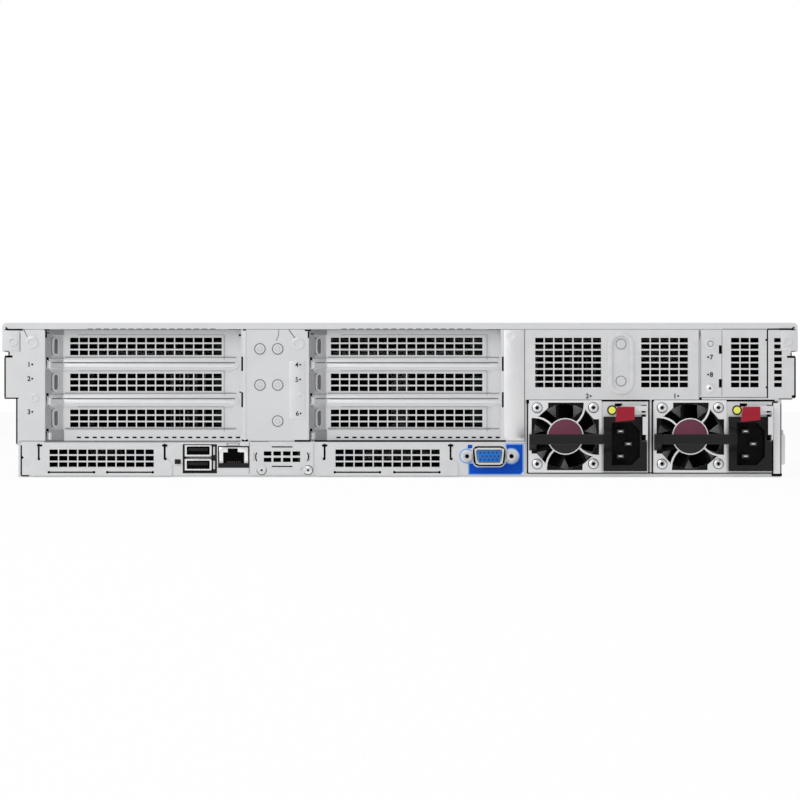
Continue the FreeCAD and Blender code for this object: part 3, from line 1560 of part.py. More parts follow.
def system_board():
    """Main board with its notch for the power bay, sockets and riser connectors."""
    body = new_body("system_board")
    low = s.sheet + s.standoff_height
    bay_end = base_rear + s.bay_length + 4
    bay_edge = s.bay_left - s.panel - 1
    plan = level(body, "board_plan", low)
    outline(plan, [
        (-s.board_half, board_rear), (bay_edge, board_rear), (bay_edge, bay_end),
        (s.board_half, bay_end), (s.board_half, board_front),
        (-s.board_half, board_front)])
    pad(body, plan, s.board_thickness)
    sockets = level(body, "riser_connectors", board_top)
    for recess_right in (s.riser_one_recess_right, s.riser_two_recess_right):
        face = recess_right - s.panel - s.card_inset
        start = rear + s.card_start + s.card_slot_start
        rectangle(sockets, face - s.card_board - 3, face + 3, start,
                  start + s.card_slot_length)
    pad(body, sockets, s.card_slot_reach)
    processors = level(body, "processor_sockets", board_top)
    for side in (-1, 1):
        x = s.processor_x * side
        half_width = s.sink_width / 2 - s.socket_margin
        half_length = s.sink_length / 2 - s.socket_margin
        rectangle(processors, x - half_width, x + half_width, processor_y - half_length,
                  processor_y + half_length)
    pad(body, processors, s.sink_lift)
    return keep(body)


def processor_heatsinks():
    """Two finned heatsinks, each a comb-shaped extrusion on its base."""
    sinks = []
    for side, turn in (("left", -1), ("right", 1)):
        body = new_body(f"heatsink_{side}")
        centre = s.processor_x * turn
        low = board_top + s.sink_lift
        comb = across(body, f"comb_{side}", processor_y - s.sink_length / 2)
        left = centre - s.sink_width / 2
        pitch = (s.sink_width - s.fin_thickness) / (s.fin_count - 1)
        corners = [(left, low), (left + s.sink_width, low)]
        for fin in reversed(range(int(s.fin_count.value))):
            x = left + pitch * fin
            top = low + s.sink_height
            root = low + s.sink_base
            if fin < int(s.fin_count.value) - 1:
                corners.append((x + s.fin_thickness, root))
            corners.append((x + s.fin_thickness, top))
            corners.append((x, top))
            if fin > 0:
                corners.append((x, root))
        outline(comb, corners)
        pad(body, comb, s.sink_length, away=True)
        sinks.append(body)
    return keep(group("processor_heatsinks", sinks))


def memory_modules():
    """Rows of memory modules on both sides of each processor, in their sockets."""
    modules = []
    low = board_top
    start = processor_y - s.module_length / 2
    for bank, centre in enumerate((-s.processor_x, s.processor_x)):
        for side in (-1, 1):
            first = centre + (s.sink_width / 2 + 5) * side
            for index in range(int(s.module_count.value) // 2):
                x = first + s.module_pitch * index * side
                number = f"{bank}{'a' if side < 0 else 'b'}{index}"
                modules.append(block(f"module_{number}",
                                     (x - s.module_thickness / 2, x + s.module_thickness / 2),
                                     (start, start + s.module_length),
                                     (low, low + s.module_socket + s.module_height)))
    return keep(group("memory_modules", modules))


def air_baffle():
    """Moulded duct over the processors: a roof on two skirts."""
    body = new_body("air_baffle")
    start = baffle_front - s.baffle_length
    half = s.baffle_half
    wall = s.baffle_wall
    top = s.baffle_top
    corner = s.baffle_corner
    inner_corner = corner + wall * math.tan(math.radians(22.5))
    section = across(body, "baffle_section", start)
    outline(section, [
        (-half, board_top), (-half + wall, board_top), (-half + wall, top - inner_corner),
        (-half + inner_corner, top - wall), (half - inner_corner, top - wall),
        (half - wall, top - inner_corner), (half - wall, board_top), (half, board_top),
        (half, top - corner), (half - corner, top),
        (-half + corner, top), (-half, top - corner)])
    pad(body, section, s.baffle_length, away=True)
    rib = level(body, "baffle_rib", top)
    x = -s.baffle_rib_pitch * (s.baffle_rib_count - 1) / 2
    rectangle(rib, x - wall / 2, x + wall / 2, start + corner, start + s.baffle_length - corner)
    row_of(body, pad(body, rib, s.baffle_rib), "H_Axis", s.baffle_rib_pitch,
           s.baffle_rib_count)
    return keep(body)


def on_top_corner(point):
    """Whether a point lies on one of the two long upper corners of the outer sheet."""
    return (abs(abs(point.x) - s.cover_half.value) < 0.01
            and abs(point.z - s.total_height.value) < 0.01)


def top_cover():
    """Lift-off access cover: rear lip, side flanges and the sunk tray of its latch."""
    body = new_body("top_cover")
    section = across(body, "cover_section", rear)
    w = s.sheet
    half = s.cover_half
    low = s.total_height - s.cover_flange
    outline(section, [
        (half, low), (half, s.total_height), (-half, s.total_height), (-half, low),
        (-half + w, low), (-half + w, cover_under), (half - w, cover_under), (half - w, low)])
    rounded(body, "cover_bends", pad(body, section, cover_front - rear, away=True),
            s.cover_bend, on_top_corner)
    lip = across(body, "cover_lip", rear)
    rectangle(lip, -half + w, half - w, s.total_height - s.cover_lip, s.total_height - w / 2)
    pad(body, lip, s.panel, away=True)
    tray_x = s.latch_width / 2 + s.latch_margin
    tray_end = cover_front - s.latch_from_front + s.latch_length / 2 + s.latch_margin
    tray_start = tray_end - s.latch_length - s.latch_margin * 2
    tray = level(body, "latch_tray", s.total_height - s.latch_tray_depth - s.panel)
    rectangle(tray, -tray_x - s.panel, tray_x + s.panel, tray_start - s.panel,
              tray_end + s.panel)
    pad(body, tray, s.latch_tray_depth)
    well = level(body, "latch_well", s.total_height)
    rectangle(well, -tray_x, tray_x, tray_start, tray_end)
    pocket(body, well, s.latch_tray_depth)
    hole = sideways(body, "latch_pin_hole", -tray_x - s.panel - 1)
    circle(hole, tray_start + 4, latch_pin_z(), s.latch_pin_radius + s.pin_clearance)
    pocket(body, hole, (tray_x + s.panel + 1) * 2, away=True)
    return keep(body)


def latch_pin_z():
    """Height of the cover latch's pin."""
    return s.total_height - s.latch_plate / 2 - 0.6


def cover_latch():
    """Flush lever on a cross pin in the cover's tray, with a finger scoop."""
    end = cover_front - s.latch_from_front + s.latch_length / 2
    start = end - s.latch_length
    half = s.latch_width / 2
    plate = block("latch_plate_blank", (-half, half), (start, end),
                  (latch_pin_z() - s.latch_plate / 2, latch_pin_z() + s.latch_plate / 2))
    scoop = block("latch_scoop", (-half / 2, half / 2), (end - 18, end - 4),
                  (latch_pin_z() - s.latch_plate, latch_pin_z() + s.latch_plate))
    opened = cut("latch_opened", plate, scoop)
    reach = half + s.latch_margin + s.panel
    pin = rod("latch_pin", (-reach, start - s.latch_margin + 4, latch_pin_z()), "X",
              s.latch_pin_radius, reach * 2)
    return keep(joined("cover_latch", [opened, pin]))


def drive_cage():
    """Front cage: fixed top, four upright walls and the guides of the drive box."""
    body = new_body("drive_cage")
    w = s.cage_wall
    half = s.cover_half
    low = s.total_height - s.cover_flange
    section = across(body, "cage_section", cage_rear)
    outline(section, [
        (half, low), (half, s.total_height), (-half, s.total_height), (-half, low),
        (-half + w, low), (-half + w, cover_under), (half - w, cover_under), (half - w, low)])
    rounded(body, "cage_bends", pad(body, section, s.cage_depth, away=True),
            s.cover_bend, on_top_corner)
    for index in range(4):
        x = s.box_width * (index - 1.5)
        wall = sideways(body, f"cage_wall_{index + 1}", x - w / 2)
        rectangle(wall, cage_rear, base_front, s.sheet, cover_under + w / 2)
        pad(body, wall, w)
    shelf = level(body, "cage_shelf", s.carrier_bottom - s.guide_gap - w)
    rectangle(shelf, -s.box_width * 1.5, -s.box_width / 2, cage_rear, base_front)
    pad(body, shelf, w)
    guides = level(body, "lower_guides", s.carrier_bottom - s.guide_gap)
    x = drive_place(0) - s.drive_pitch / 2
    rectangle(guides, x - s.guide_width / 2, x + s.guide_width / 2,
              front - s.carrier_length, base_front)
    row_of(body, pad(body, guides, 1.6), "H_Axis", s.drive_pitch, s.drive_count * 2 + 1)
    return keep(body)


def drive_place(index):
    """Centre line of one drive, counted from the left of its box."""
    return -s.box_width + s.drive_pitch * (index - (s.drive_count.value * 2 - 1) / 2)


def drive(index):
    """One drive: carrier with bezel and rails, the disk between them, and its lever."""
    number = index + 1
    x = drive_place(index)
    half = s.carrier_width / 2
    low = s.carrier_bottom
    high = low + s.carrier_height
    rail = s.carrier_rail
    face = front - s.bezel_thickness
    tail = front - s.carrier_length
    carrier = new_body(f"carrier_{number}")
    side = sideways(carrier, f"carrier_side_{number}", x - half)
    rectangle(side, tail, front, low, high)
    rectangle(side, tail + 6, face, low + rail, high - rail)
    pad(carrier, side, s.carrier_width)
    recess = across(carrier, f"carrier_recess_{number}", front)
    reach = s.drive_lever_width / 2 + 0.3
    bottom = low + s.drive_lever_bottom
    rectangle(recess, x - reach, x + reach, bottom - 1.6,
              bottom + s.drive_lever_length + 1)
    pocket(carrier, recess, s.drive_lever_recess, away=True)
    hole = sideways(carrier, f"carrier_hole_{number}", x - half)
    circle(hole, lever_pin_y(), bottom + 1.2, s.drive_lever_pin + s.pin_clearance)
    pocket(carrier, hole, s.carrier_width, away=True)

    disk_low = low + rail
    disk = block(f"disk_{number}", (x - s.disk_width / 2, x + s.disk_width / 2),
                 (tail + 8, tail + 8 + s.disk_length), (disk_low, high - rail))
    keep(group(f"drive_{number}", [carrier, disk]))

    arm = lever_arm(f"lever_arm_{number}", x, bottom)
    pin = rod(f"lever_pin_{number}", (x - half, lever_pin_y(), bottom + 1.2), "X",
              s.drive_lever_pin, s.carrier_width)
    keep(joined(f"drive_lever_{number}", [arm, pin]))


def lever_arm(name, x, bottom):
    """Arm of a drive lever: a bevelled tip with a hollow for the thumb below it."""
    body = new_body(name)
    back = front - s.drive_lever_thickness
    dip = s.drive_lever_hollow
    top = bottom + s.drive_lever_length
    hollow_top = top - dip * 2
    hollow_bottom = hollow_top - s.drive_lever_grip
    side = sideways(body, name + "_side", x - s.drive_lever_width / 2)
    outline(side, [
        (back, bottom), (front, bottom), (front, hollow_bottom), (front - dip, hollow_bottom + dip),
        (front - dip, hollow_top - dip), (front, hollow_top), (front, top - dip),
        (front - dip, top), (back, top)])
    pad(body, side, s.drive_lever_width)
    return body


def lever_pin_y():
    """Depth of the drive levers' pins."""
    return front - s.drive_lever_thickness / 2


def bay_blanks():
    """Fillers of the empty bays: four narrow ones and two wide ones."""
    pieces = []
    for index in range(int(s.drive_count.value)):
        x = drive_place(index + int(s.drive_count.value))
        pieces.append(narrow_bay_blank(f"narrow_blank_{index + 1}", x))
    for index in range(2):
        pieces.append(wide_bay_blank(f"wide_bay_blank_{index + 1}", s.box_width * index))
    return keep(group("bay_blanks", pieces))


def narrow_bay_blank(name, x):
    """Filler of one bay: a finger hollow under its top lip and a ladder of slots."""
    body = new_body(name)
    low = s.carrier_bottom
    high = low + s.carrier_height
    lip = high - s.narrow_grip_lip
    dip = s.narrow_grip_depth
    grip_low = lip - s.narrow_grip_height
    side = sideways(body, name + "_side", x - s.carrier_width / 2)
    outline(side, [
        (front - s.bezel_thickness * 3, low), (front, low), (front, grip_low),
        (front - dip, grip_low + dip), (front - dip, lip), (front, lip), (front, high),
        (front - s.bezel_thickness * 3, high)])
    pad(body, side, s.carrier_width)
    slot = across(body, name + "_slot", front - s.blank_plate)
    half = s.carrier_width / 2 - s.narrow_slot_margin
    start = low + s.narrow_slot_rise
    rectangle(slot, x - half, x + half, start, start + s.narrow_slot_height)
    row_of(body, pocket(body, slot, s.blank_plate), "V_Axis", s.narrow_slot_rise,
           s.narrow_slot_count)
    return body


def wide_bay_blank(name, x):
    """Filler of a whole box: an open-backed tray whose face has rows of air slots."""
    body = new_body(name)
    half = s.box_width / 2 - s.cage_wall
    low = s.sheet + s.seat_gap
    high = cover_under - s.seat_gap
    depth = s.bezel_thickness * 3
    wall = s.blank_plate
    shell = across(body, name + "_shell", front - depth)
    rectangle(shell, x - half, x + half, low, high)
    pad(body, shell, depth, away=True)
    hollow = across(body, name + "_hollow", front - depth)
    rectangle(hollow, x - half + wall, x + half - wall, low + wall, high - wall)
    pocket(body, hollow, depth - wall)
    slots = across(body, name + "_slots", front - wall)
    left = x - s.blank_slot_pitch * (s.blank_slot_columns - 1) / 2 - s.blank_slot_width / 2
    middle = (low + high) / 2
    rows = int(s.blank_slot_rows.value)
    for row in range(rows):
        z = middle + s.blank_slot_rise * (row - (rows - 1) / 2)
        rectangle(slots, left, left + s.blank_slot_width,
                  z - s.blank_slot_height / 2, z + s.blank_slot_height / 2)
    row_of(body, pocket(body, slots, wall), "H_Axis", s.blank_slot_pitch,
           s.blank_slot_columns)
    return body


def drive_backplane():
    """Board behind the drive box with a socket per bay and air slots between them."""
    body = new_body("drive_backplane")
    face = front - s.carrier_length - s.backplane_gap
    board = across(body, "backplane_board", face)
    half = s.box_width / 2 - s.cage_wall / 2 - s.guide_gap
    rectangle(board, -s.box_width - half, -s.box_width + half, s.carrier_bottom,
              s.carrier_bottom + s.carrier_height)
    pad(body, board, s.backplane_thickness)
    sockets = across(body, "backplane_sockets", face)
    x = drive_place(0)
    rectangle(sockets, x - 2.4, x + 2.4, s.carrier_bottom + 8, s.carrier_bottom + 42)
    reach = s.backplane_gap - s.guide_gap
    row_of(body, pad(body, sockets, reach, away=True), "H_Axis", s.drive_pitch,
           s.drive_count * 2)
    return keep(body)


def rack_ear(name, turn):
    """Rack ear: flange with two slotted holes, trim column and a strap on the wall."""
    body = new_body(name)
    strap_face = s.high_half
    strap_out = s.cover_half
    plan = level(body, f"{name}_plan", 0)
    corners = [
        (s.ear_inner * turn, front), (s.ear_half * turn, front),
        (s.ear_half * turn, front - s.ear_plate), (strap_out * turn, front - s.ear_plate),
        (strap_out * turn, base_front), (s.ear_inner * turn, base_front)]
    outline(plan, corners)
    pad(body, plan, s.total_height)
    strap = sideways(body, f"{name}_strap", strap_face * turn)
    rectangle(strap, base_front - s.ear_strap_length, base_front,
              s.step_height, s.step_height + s.ear_strap_height)
    pad(body, strap, s.cover_half - s.high_half, away=turn < 0)
    middle = s.total_height / 2
    holes = across(body, f"{name}_rack_holes", front)
    for rise in (-1, 1):
        z = middle + s.rack_hole_rise * rise
        x = s.rack_hole_half * turn
        stadium(holes, (x - s.rack_hole_slot / 2, z), (x + s.rack_hole_slot / 2, z),
                s.rack_hole_radius)
    pocket(body, holes, s.ear_plate, away=True)
    lugs = across(body, f"{name}_lugs", front)
    inner = s.cover_half + s.ear_latch_inset
    for rise in (-1, 1):
        edge = middle + (s.ear_latch_height / 2 + 0.4) * rise
        far = edge + s.ear_latch_lug * rise
        outline(lugs, [(inner * turn, edge), ((inner + 6) * turn, edge),
                       ((inner + 6) * turn, far), (inner * turn, far)])
    pad(body, lugs, s.latch_reach, away=True)
    return body


def ear_latch(name, turn):
    """Quick-release latch on an upright pin at the inner edge of the ear."""
    body = new_body(name)
    middle = s.total_height / 2
    half = s.ear_latch_height / 2
    inner = s.cover_half + s.ear_latch_inset
    barrel_radius = s.latch_reach / 2 - s.seat_gap
    plate = across(body, f"{name}_plate", front + s.seat_gap)
    outline(plate, [
        ((inner + 3) * turn, middle - half),
        ((inner + s.ear_latch_width) * turn, middle - half + 3),
        ((inner + s.ear_latch_width) * turn, middle + half - 3),
        ((inner + 3) * turn, middle + half)])
    pad(body, plate, barrel_radius * 2, away=True)
    for part, reach, radius in (("barrel", 0, barrel_radius),
                                ("pin", s.ear_latch_lug, s.ear_latch_pin)):
        round_part = level(body, f"{name}_{part}", middle - half - reach)
        circle(round_part, (inner + 3) * turn, front + s.latch_reach / 2, radius)
        pad(body, round_part, (half + reach) * 2)
    return keep(body)


def ears():
    """Both rack ears, with pin holes in their lugs, and their latches."""
    for name, turn in (("left", -1), ("right", 1)):
        body = rack_ear(f"rack_ear_{name}", turn)
        holes = level(body, f"ear_pin_holes_{name}", 0)
        circle(holes, (s.cover_half + 4.5) * turn, front + s.latch_reach / 2,
               s.ear_latch_pin + s.pin_clearance)
        pocket(body, holes, s.total_height, away=True)
        if turn < 0:
            button_hole(body)
        keep(body)
        ear_latch(f"ear_latch_{name}", turn)


def button_hole(body):
    """Well of the power button in the left trim column."""
    well = across(body, "button_well", front)
    circle(well, -s.button_x, s.button_z, s.button_radius + 0.2)
    pocket(body, well, s.button_length + 2, away=True)


def power_button():
    """Round push button."""
    return keep(rod("power_button", (-s.button_x, front + s.button_rise - s.button_length,
                                     s.button_z), "Y", s.button_radius, s.button_length))


def build_server():
    """Make every sub-part in the order in which the server is put together."""
    chassis_base()
    io_wall()
    lower_blanks()
    serial_blank()
    locator_button()
    usb_ports()
    network_port()
    video_port()
    riser_cage_one()
    riser_cage_two()
    riser_cage_three()
    slot_blanks()
    riser_boards()
    rear_upper_panel()
    rear_fasteners()
    psu_cage()
    power_supply("psu_left", s.psu_left_x)
    power_supply("psu_right", s.psu_right_x)
    system_board()
    processor_heatsinks()
    memory_modules()
    air_baffle()
    fan_cage()
    fan_frames()
    fan_rotors()
    drive_cage()
    drive_backplane()
    for index in range(int(s.drive_count.value)):
        drive(index)
    bay_blanks()
    ears()
    power_button()
    top_cover()
    cover_latch()


def check_model():
    """Stop if any object failed or any sub-part lacks a sound shape."""
    for thing in doc.Objects:
        if "Invalid" in thing.State or "Error" in thing.State:
            raise RuntimeError(f"{thing.Name} failed: {thing.State}")
    for node in nodes:
        if node.Shape.isNull() or not node.Shape.isValid():
            raise RuntimeError(f"{node.Label} has no sound shape")


build_server()
doc.recompute()
check_model()
for node in nodes:
    node.Shape.exportStep(f"parts/{node.Label}.step")
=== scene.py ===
import math

import bpy
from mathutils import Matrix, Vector


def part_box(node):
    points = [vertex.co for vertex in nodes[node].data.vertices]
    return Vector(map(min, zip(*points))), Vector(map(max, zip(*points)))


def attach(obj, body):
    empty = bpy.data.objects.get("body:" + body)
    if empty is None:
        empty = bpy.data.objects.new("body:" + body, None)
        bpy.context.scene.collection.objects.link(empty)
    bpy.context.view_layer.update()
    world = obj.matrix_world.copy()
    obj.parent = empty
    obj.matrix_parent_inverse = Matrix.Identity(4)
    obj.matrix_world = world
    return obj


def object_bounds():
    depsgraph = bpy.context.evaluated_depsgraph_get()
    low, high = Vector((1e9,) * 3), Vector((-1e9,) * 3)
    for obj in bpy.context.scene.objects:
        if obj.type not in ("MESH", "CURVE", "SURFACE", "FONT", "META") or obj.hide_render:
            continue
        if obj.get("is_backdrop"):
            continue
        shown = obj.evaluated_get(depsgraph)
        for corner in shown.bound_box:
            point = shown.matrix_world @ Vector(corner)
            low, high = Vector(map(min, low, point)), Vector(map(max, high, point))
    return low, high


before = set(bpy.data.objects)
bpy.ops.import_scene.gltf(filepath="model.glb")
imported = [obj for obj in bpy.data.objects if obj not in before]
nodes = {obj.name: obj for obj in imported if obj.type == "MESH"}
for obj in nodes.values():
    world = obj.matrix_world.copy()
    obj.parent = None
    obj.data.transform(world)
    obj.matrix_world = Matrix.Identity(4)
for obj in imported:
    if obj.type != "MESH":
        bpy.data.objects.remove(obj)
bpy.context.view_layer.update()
MM = 0.001
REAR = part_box("rear_io_wall")[0].y / MM


# Chassis tray, its rear walls, riser cages and fixed front cage. The real ones are
# galvanised steel sheet, punched flat, folded and riveted together, left unpainted.

class Shade:
    """An output of a material node; sums on it add Math nodes."""

    def __init__(self, tree, socket=None):
        self.tree = tree
        self.socket = socket

    def node(self, kind, settings=None, sockets=None, out=0):
        """Add any node: its settings first, then values or links for its sockets."""
        added = self.tree.nodes.new("ShaderNode" + kind)
        for name, value in (settings or {}).items():
            setattr(added, name, value)
        for name, value in (sockets or {}).items():
            if isinstance(value, Shade):
                self.tree.links.new(value.socket, added.inputs[name])
            else:
                added.inputs[name].default_value = value
        return Shade(self.tree, added.outputs[out])

    def maths(self, operation, first, second=0.0):
        return self.node("Math", {"operation": operation}, {0: first, 1: second})

    def __add__(self, other):
        return self.maths("ADD", self, other)

    def __radd__(self, other):
        return self.maths("ADD", other, self)

    def __rsub__(self, other):
        return self.maths("SUBTRACT", other, self)

    def __mul__(self, other):
        return self.maths("MULTIPLY", self, other)

    def __gt__(self, other):
        return self.maths("GREATER_THAN", self, other)

    def __lt__(self, other):
        return self.maths("LESS_THAN", self, other)

    def mixed(self, first, second):
        """First colour where this mask is 0 and second where it is 1."""
        ends = [end if isinstance(end, Shade) else (*end, 1) for end in (first, second)]
        return self.node("Mix", {"data_type": "RGBA"}, {0: self, 6: ends[0], 7: ends[1]}, out=2)


class Finish:
    """A surface finish: one material with its shader and the place on the piece."""

    def __init__(self, name):
        self.material = bpy.data.materials.new(name)
        self.material.use_nodes = True
        tree = self.material.node_tree
        self.shader = next(n for n in tree.nodes if n.type == "BSDF_PRINCIPLED")
        self.paint = Shade(tree)
        self.place = self.paint.node("TexCoord", out="Object")
        axes = self.paint.node("SeparateXYZ", sockets={"Vector": self.place}).socket.node
        self.x, self.y, self.z = (Shade(tree, axes.outputs[axis]) for axis in "XYZ")

    def set(self, **sockets):
        """Set or link the shader's own sockets; Base_Color stands for Base Color."""
        for name, value in sockets.items():
            target = self.shader.inputs[name.replace("_", " ")]
            if isinstance(value, Shade):
                self.paint.tree.links.new(value.socket, target)
            else:
                target.default_value = value
        return self

    def noise(self, scale, detail=2.0, stretch=(1, 1, 1)):
        """Soft cloudy variation, 0 to 1, with its scale in features a metre."""
        where = self.paint.node("Mapping", sockets={"Vector": self.place, "Scale": stretch})
        return self.paint.node("TexNoise", sockets={
            "Vector": where, "Scale": scale, "Detail": detail})

    def bump(self, height, strength, distance):
        self.set(Normal=self.paint.node("Bump", sockets={
            "Height": height, "Strength": strength, "Distance": distance}))

    def onto(self, *pieces):
        """Give this finish to pieces in place of what they have."""
        for piece in pieces:
            piece.data.materials.clear()
            piece.data.materials.append(self.material)


def sheet_metal(name, pale, dark, grain, metallic=0.72, roughness=0.4):
    """Plain plated sheet: faint spangle, rolling grain along one axis, handling smudges."""
    finish = Finish(name)
    spangle = finish.paint.node("TexVoronoi", sockets={
        "Vector": finish.place, "Scale": 160.0, "Randomness": 1.0}, out="Color")
    facet = finish.paint.node("SeparateXYZ", sockets={"Vector": spangle})
    cloud = finish.noise(26.0, 4.0)
    rolled = finish.noise(900.0, 3.0, grain)
    tone = facet * 0.25 + cloud * 0.5 + rolled * 0.25
    finish.set(Base_Color=tone.mixed(dark, pale), Metallic=metallic,
               Roughness=roughness - 0.08 + facet * 0.06 + rolled * 0.1)
    finish.bump(rolled * 0.7 + cloud * 0.3, 0.12, 0.0002)
    return finish


zinc_pale = (0.76, 0.765, 0.77)
zinc_dark = (0.66, 0.665, 0.67)
zinc_sheet = sheet_metal("zinc_sheet", zinc_pale, zinc_dark, (0.06, 1, 1))
zinc_sheet.onto(*(nodes[name] for name in (
    "chassis_base", "psu_cage", "drive_cage", "fan_cage", "rear_io_wall",
    "rear_upper_panel", "riser_cage_3", "psu_left_case", "psu_right_case")))
recess_left = {1: -200.0, 2: -51.4}
wall_depth = (0.1, 12.0)
bar_bands = ((59.8, 66.8), (39.4, 46.4))
for cage, left in recess_left.items():
    cage_sheet = sheet_metal(f"cage_sheet_{cage}", zinc_pale, zinc_dark, (0.06, 1, 1))
    # Painted shade: the sloping left wall of each recess, apart from the bars across it, is
    # coloured darker than the plain sheet.
    slope = (cage_sheet.x > left * MM) * (cage_sheet.x < (left + 10.2) * MM)
    slope = slope * (cage_sheet.y > (REAR + wall_depth[0]) * MM)
    slope = slope * (cage_sheet.y < (REAR + wall_depth[1]) * MM)
    for bar_low, bar_high in bar_bands:
        slope = slope * (1.0 - (cage_sheet.z > bar_low * MM) * (cage_sheet.z < bar_high * MM))
    slope_shade = cage_sheet.noise(150.0, 3.0).mixed((0.36, 0.363, 0.366), (0.50, 0.504, 0.508))
    plain = cage_sheet.noise(26.0, 4.0).mixed(zinc_dark, zinc_pale)
    cage_sheet.set(Base_Color=slope.mixed(plain, slope_shade))
    cage_sheet.onto(nodes[f"riser_cage_{cage}"])


# Access cover: the same galvanised sheet as the tray, folded down at its sides and rear
# and lifted off by hand; the paler, closer grain is that of a wide rolled sheet.

cover_sheet = sheet_metal("cover_sheet", (0.72, 0.725, 0.73), (0.64, 0.645, 0.65), (1, 0.05, 1),
                          0.45, 0.58)
cover_sheet.onto(nodes["top_cover"])


# Vented blanks of the expansion slots and of the lower wall: thin spring-steel plates,
# brighter than the sheet behind them, punched with rows of oblong holes.

blank_plate = sheet_metal("blank_plate", (0.74, 0.745, 0.75), (0.67, 0.675, 0.68), (0.06, 1, 1))
blank_plate.onto(nodes["slot_blanks"], nodes["lower_blanks"], nodes["serial_blank"])


# Fan guards: stamped from bright steel strip and plated. Each lies over the fan of its
# power supply and is fixed by four screws.

guard_steel = sheet_metal("guard_steel", (0.86, 0.865, 0.87), (0.78, 0.785, 0.79), (1, 1, 0.1),
                          roughness=0.34)
guard_steel.onto(nodes["psu_left_fan_guard"], nodes["psu_right_fan_guard"])


# Mouldings: inlets, fans, baffle, bay blanks, ears and levers are injected in black,
# flame-retardant plastic with a fine spark-eroded grain; the latches are painted steel.

def moulded(name, colour, roughness=0.5, grain=1800.0, depth=0.00008, shine=0.5):
    """Moulded plastic with fine grain and slight cloudiness."""
    finish = Finish(name)
    fine = finish.noise(grain, 2.0)
    cloud = finish.noise(40.0, 3.0)
    low = tuple(value * 0.86 for value in colour)
    high = tuple(min(1.0, value * 1.14) for value in colour)
    finish.set(Base_Color=(cloud * 0.7 + fine * 0.3).mixed(low, high),
               Roughness=roughness - 0.06 + fine * 0.12, Specular_IOR_Level=shine)
    finish.bump(fine, 0.35, depth)
    return finish


inlet_black = moulded("inlet_black", (0.009, 0.009, 0.0095), 0.55, shine=0.22)
inlet_black.onto(nodes["psu_left_inlet"], nodes["psu_right_inlet"])
fan_black = moulded("fan_black", (0.006, 0.006, 0.0065), 0.6, shine=0.12)
fan_black.onto(nodes["psu_left_fan_rotor"], nodes["psu_right_fan_rotor"], nodes["fan_frames"],
               *(nodes[f"fan_rotor_{number}"] for number in range(1, 7)))
baffle_black = moulded("baffle_black", (0.03, 0.03, 0.032), 0.55)
baffle_black.onto(nodes["air_baffle"])
front_black = moulded("front_black", (0.035, 0.035, 0.038), 0.5)
front_black.onto(nodes["bay_blanks"], nodes["rack_ear_left"], nodes["rack_ear_right"],
                 *(nodes[f"drive_lever_{number}"] for number in range(1, 5)))
button_grey = moulded("button_grey", (0.45, 0.46, 0.48), 0.4)
button_grey.onto(nodes["power_button"], nodes["locator_button"])
latch_paint = moulded("latch_paint", (0.06, 0.06, 0.065), 0.45, 900.0)
latch_paint.onto(nodes["cover_latch"], nodes["ear_latch_left"], nodes["ear_latch_right"])


# Release levers: each is a spring-steel arm, riveted inside its supply, with a crimson
# thumb tab moulded on its outer end.

psu_x = {"left": 106.0, "right": 176.4}
for side, x in psu_x.items():
    lever_finish = Finish(f"release_lever_{side}")
    tab = ((lever_finish.y < (REAR - 11.4) * MM) * (lever_finish.z < 39.7 * MM)
           * (lever_finish.x < (x + 25.6) * MM))
    cloud = lever_finish.noise(60.0, 3.0)
    colour = cloud.mixed((0.26, 0.003, 0.014), (0.38, 0.006, 0.026))
    lever_finish.set(Base_Color=tab.mixed((0.74, 0.745, 0.75), colour),
                     Metallic=0.75 - tab * 0.75, Roughness=0.36 + tab * 0.1,
                     Specular_IOR_Level=0.3)
    lever_finish.bump(lever_finish.noise(1500.0), 0.2, 0.00008)
    lever_finish.onto(nodes[f"psu_{side}_release_lever"])


# Boards: glass laminate with etched copper under a green solder-resist coating. The main
# board is screwed to the tray and the others plug in.

def circuit_board(name, base, trace):
    """Coated laminate: fine traces along two axes and lighter pads."""
    finish = Finish(name)
    lanes = finish.noise(700.0, 1.0, (0.05, 1, 1)) + finish.noise(700.0, 1.0, (1, 0.05, 1))
    copper = lanes > 1.12
    finish.set(Base_Color=copper.mixed(base, trace), Roughness=0.38)
    finish.bump(copper, 0.3, 0.00005)
    return finish


green_board = circuit_board("green_board", (0.006, 0.05, 0.025), (0.015, 0.10, 0.045))
green_board.onto(nodes["system_board"], nodes["riser_boards"], nodes["drive_backplane"],
                 nodes["memory_modules"])


# Heatsinks and drives: the heatsinks are plain extruded aluminium, screwed down over the
# processors, and the drives have cast and plated housings.

sink_metal = sheet_metal("sink_metal", (0.80, 0.81, 0.82), (0.70, 0.71, 0.72), (1, 0.05, 1))
sink_metal.onto(nodes["processor_heatsinks"])
drive_metal = sheet_metal("drive_metal", (0.56, 0.565, 0.57), (0.46, 0.465, 0.47), (1, 1, 0.1))
drive_metal.onto(*(nodes[f"drive_{number}"] for number in range(1, 5)))
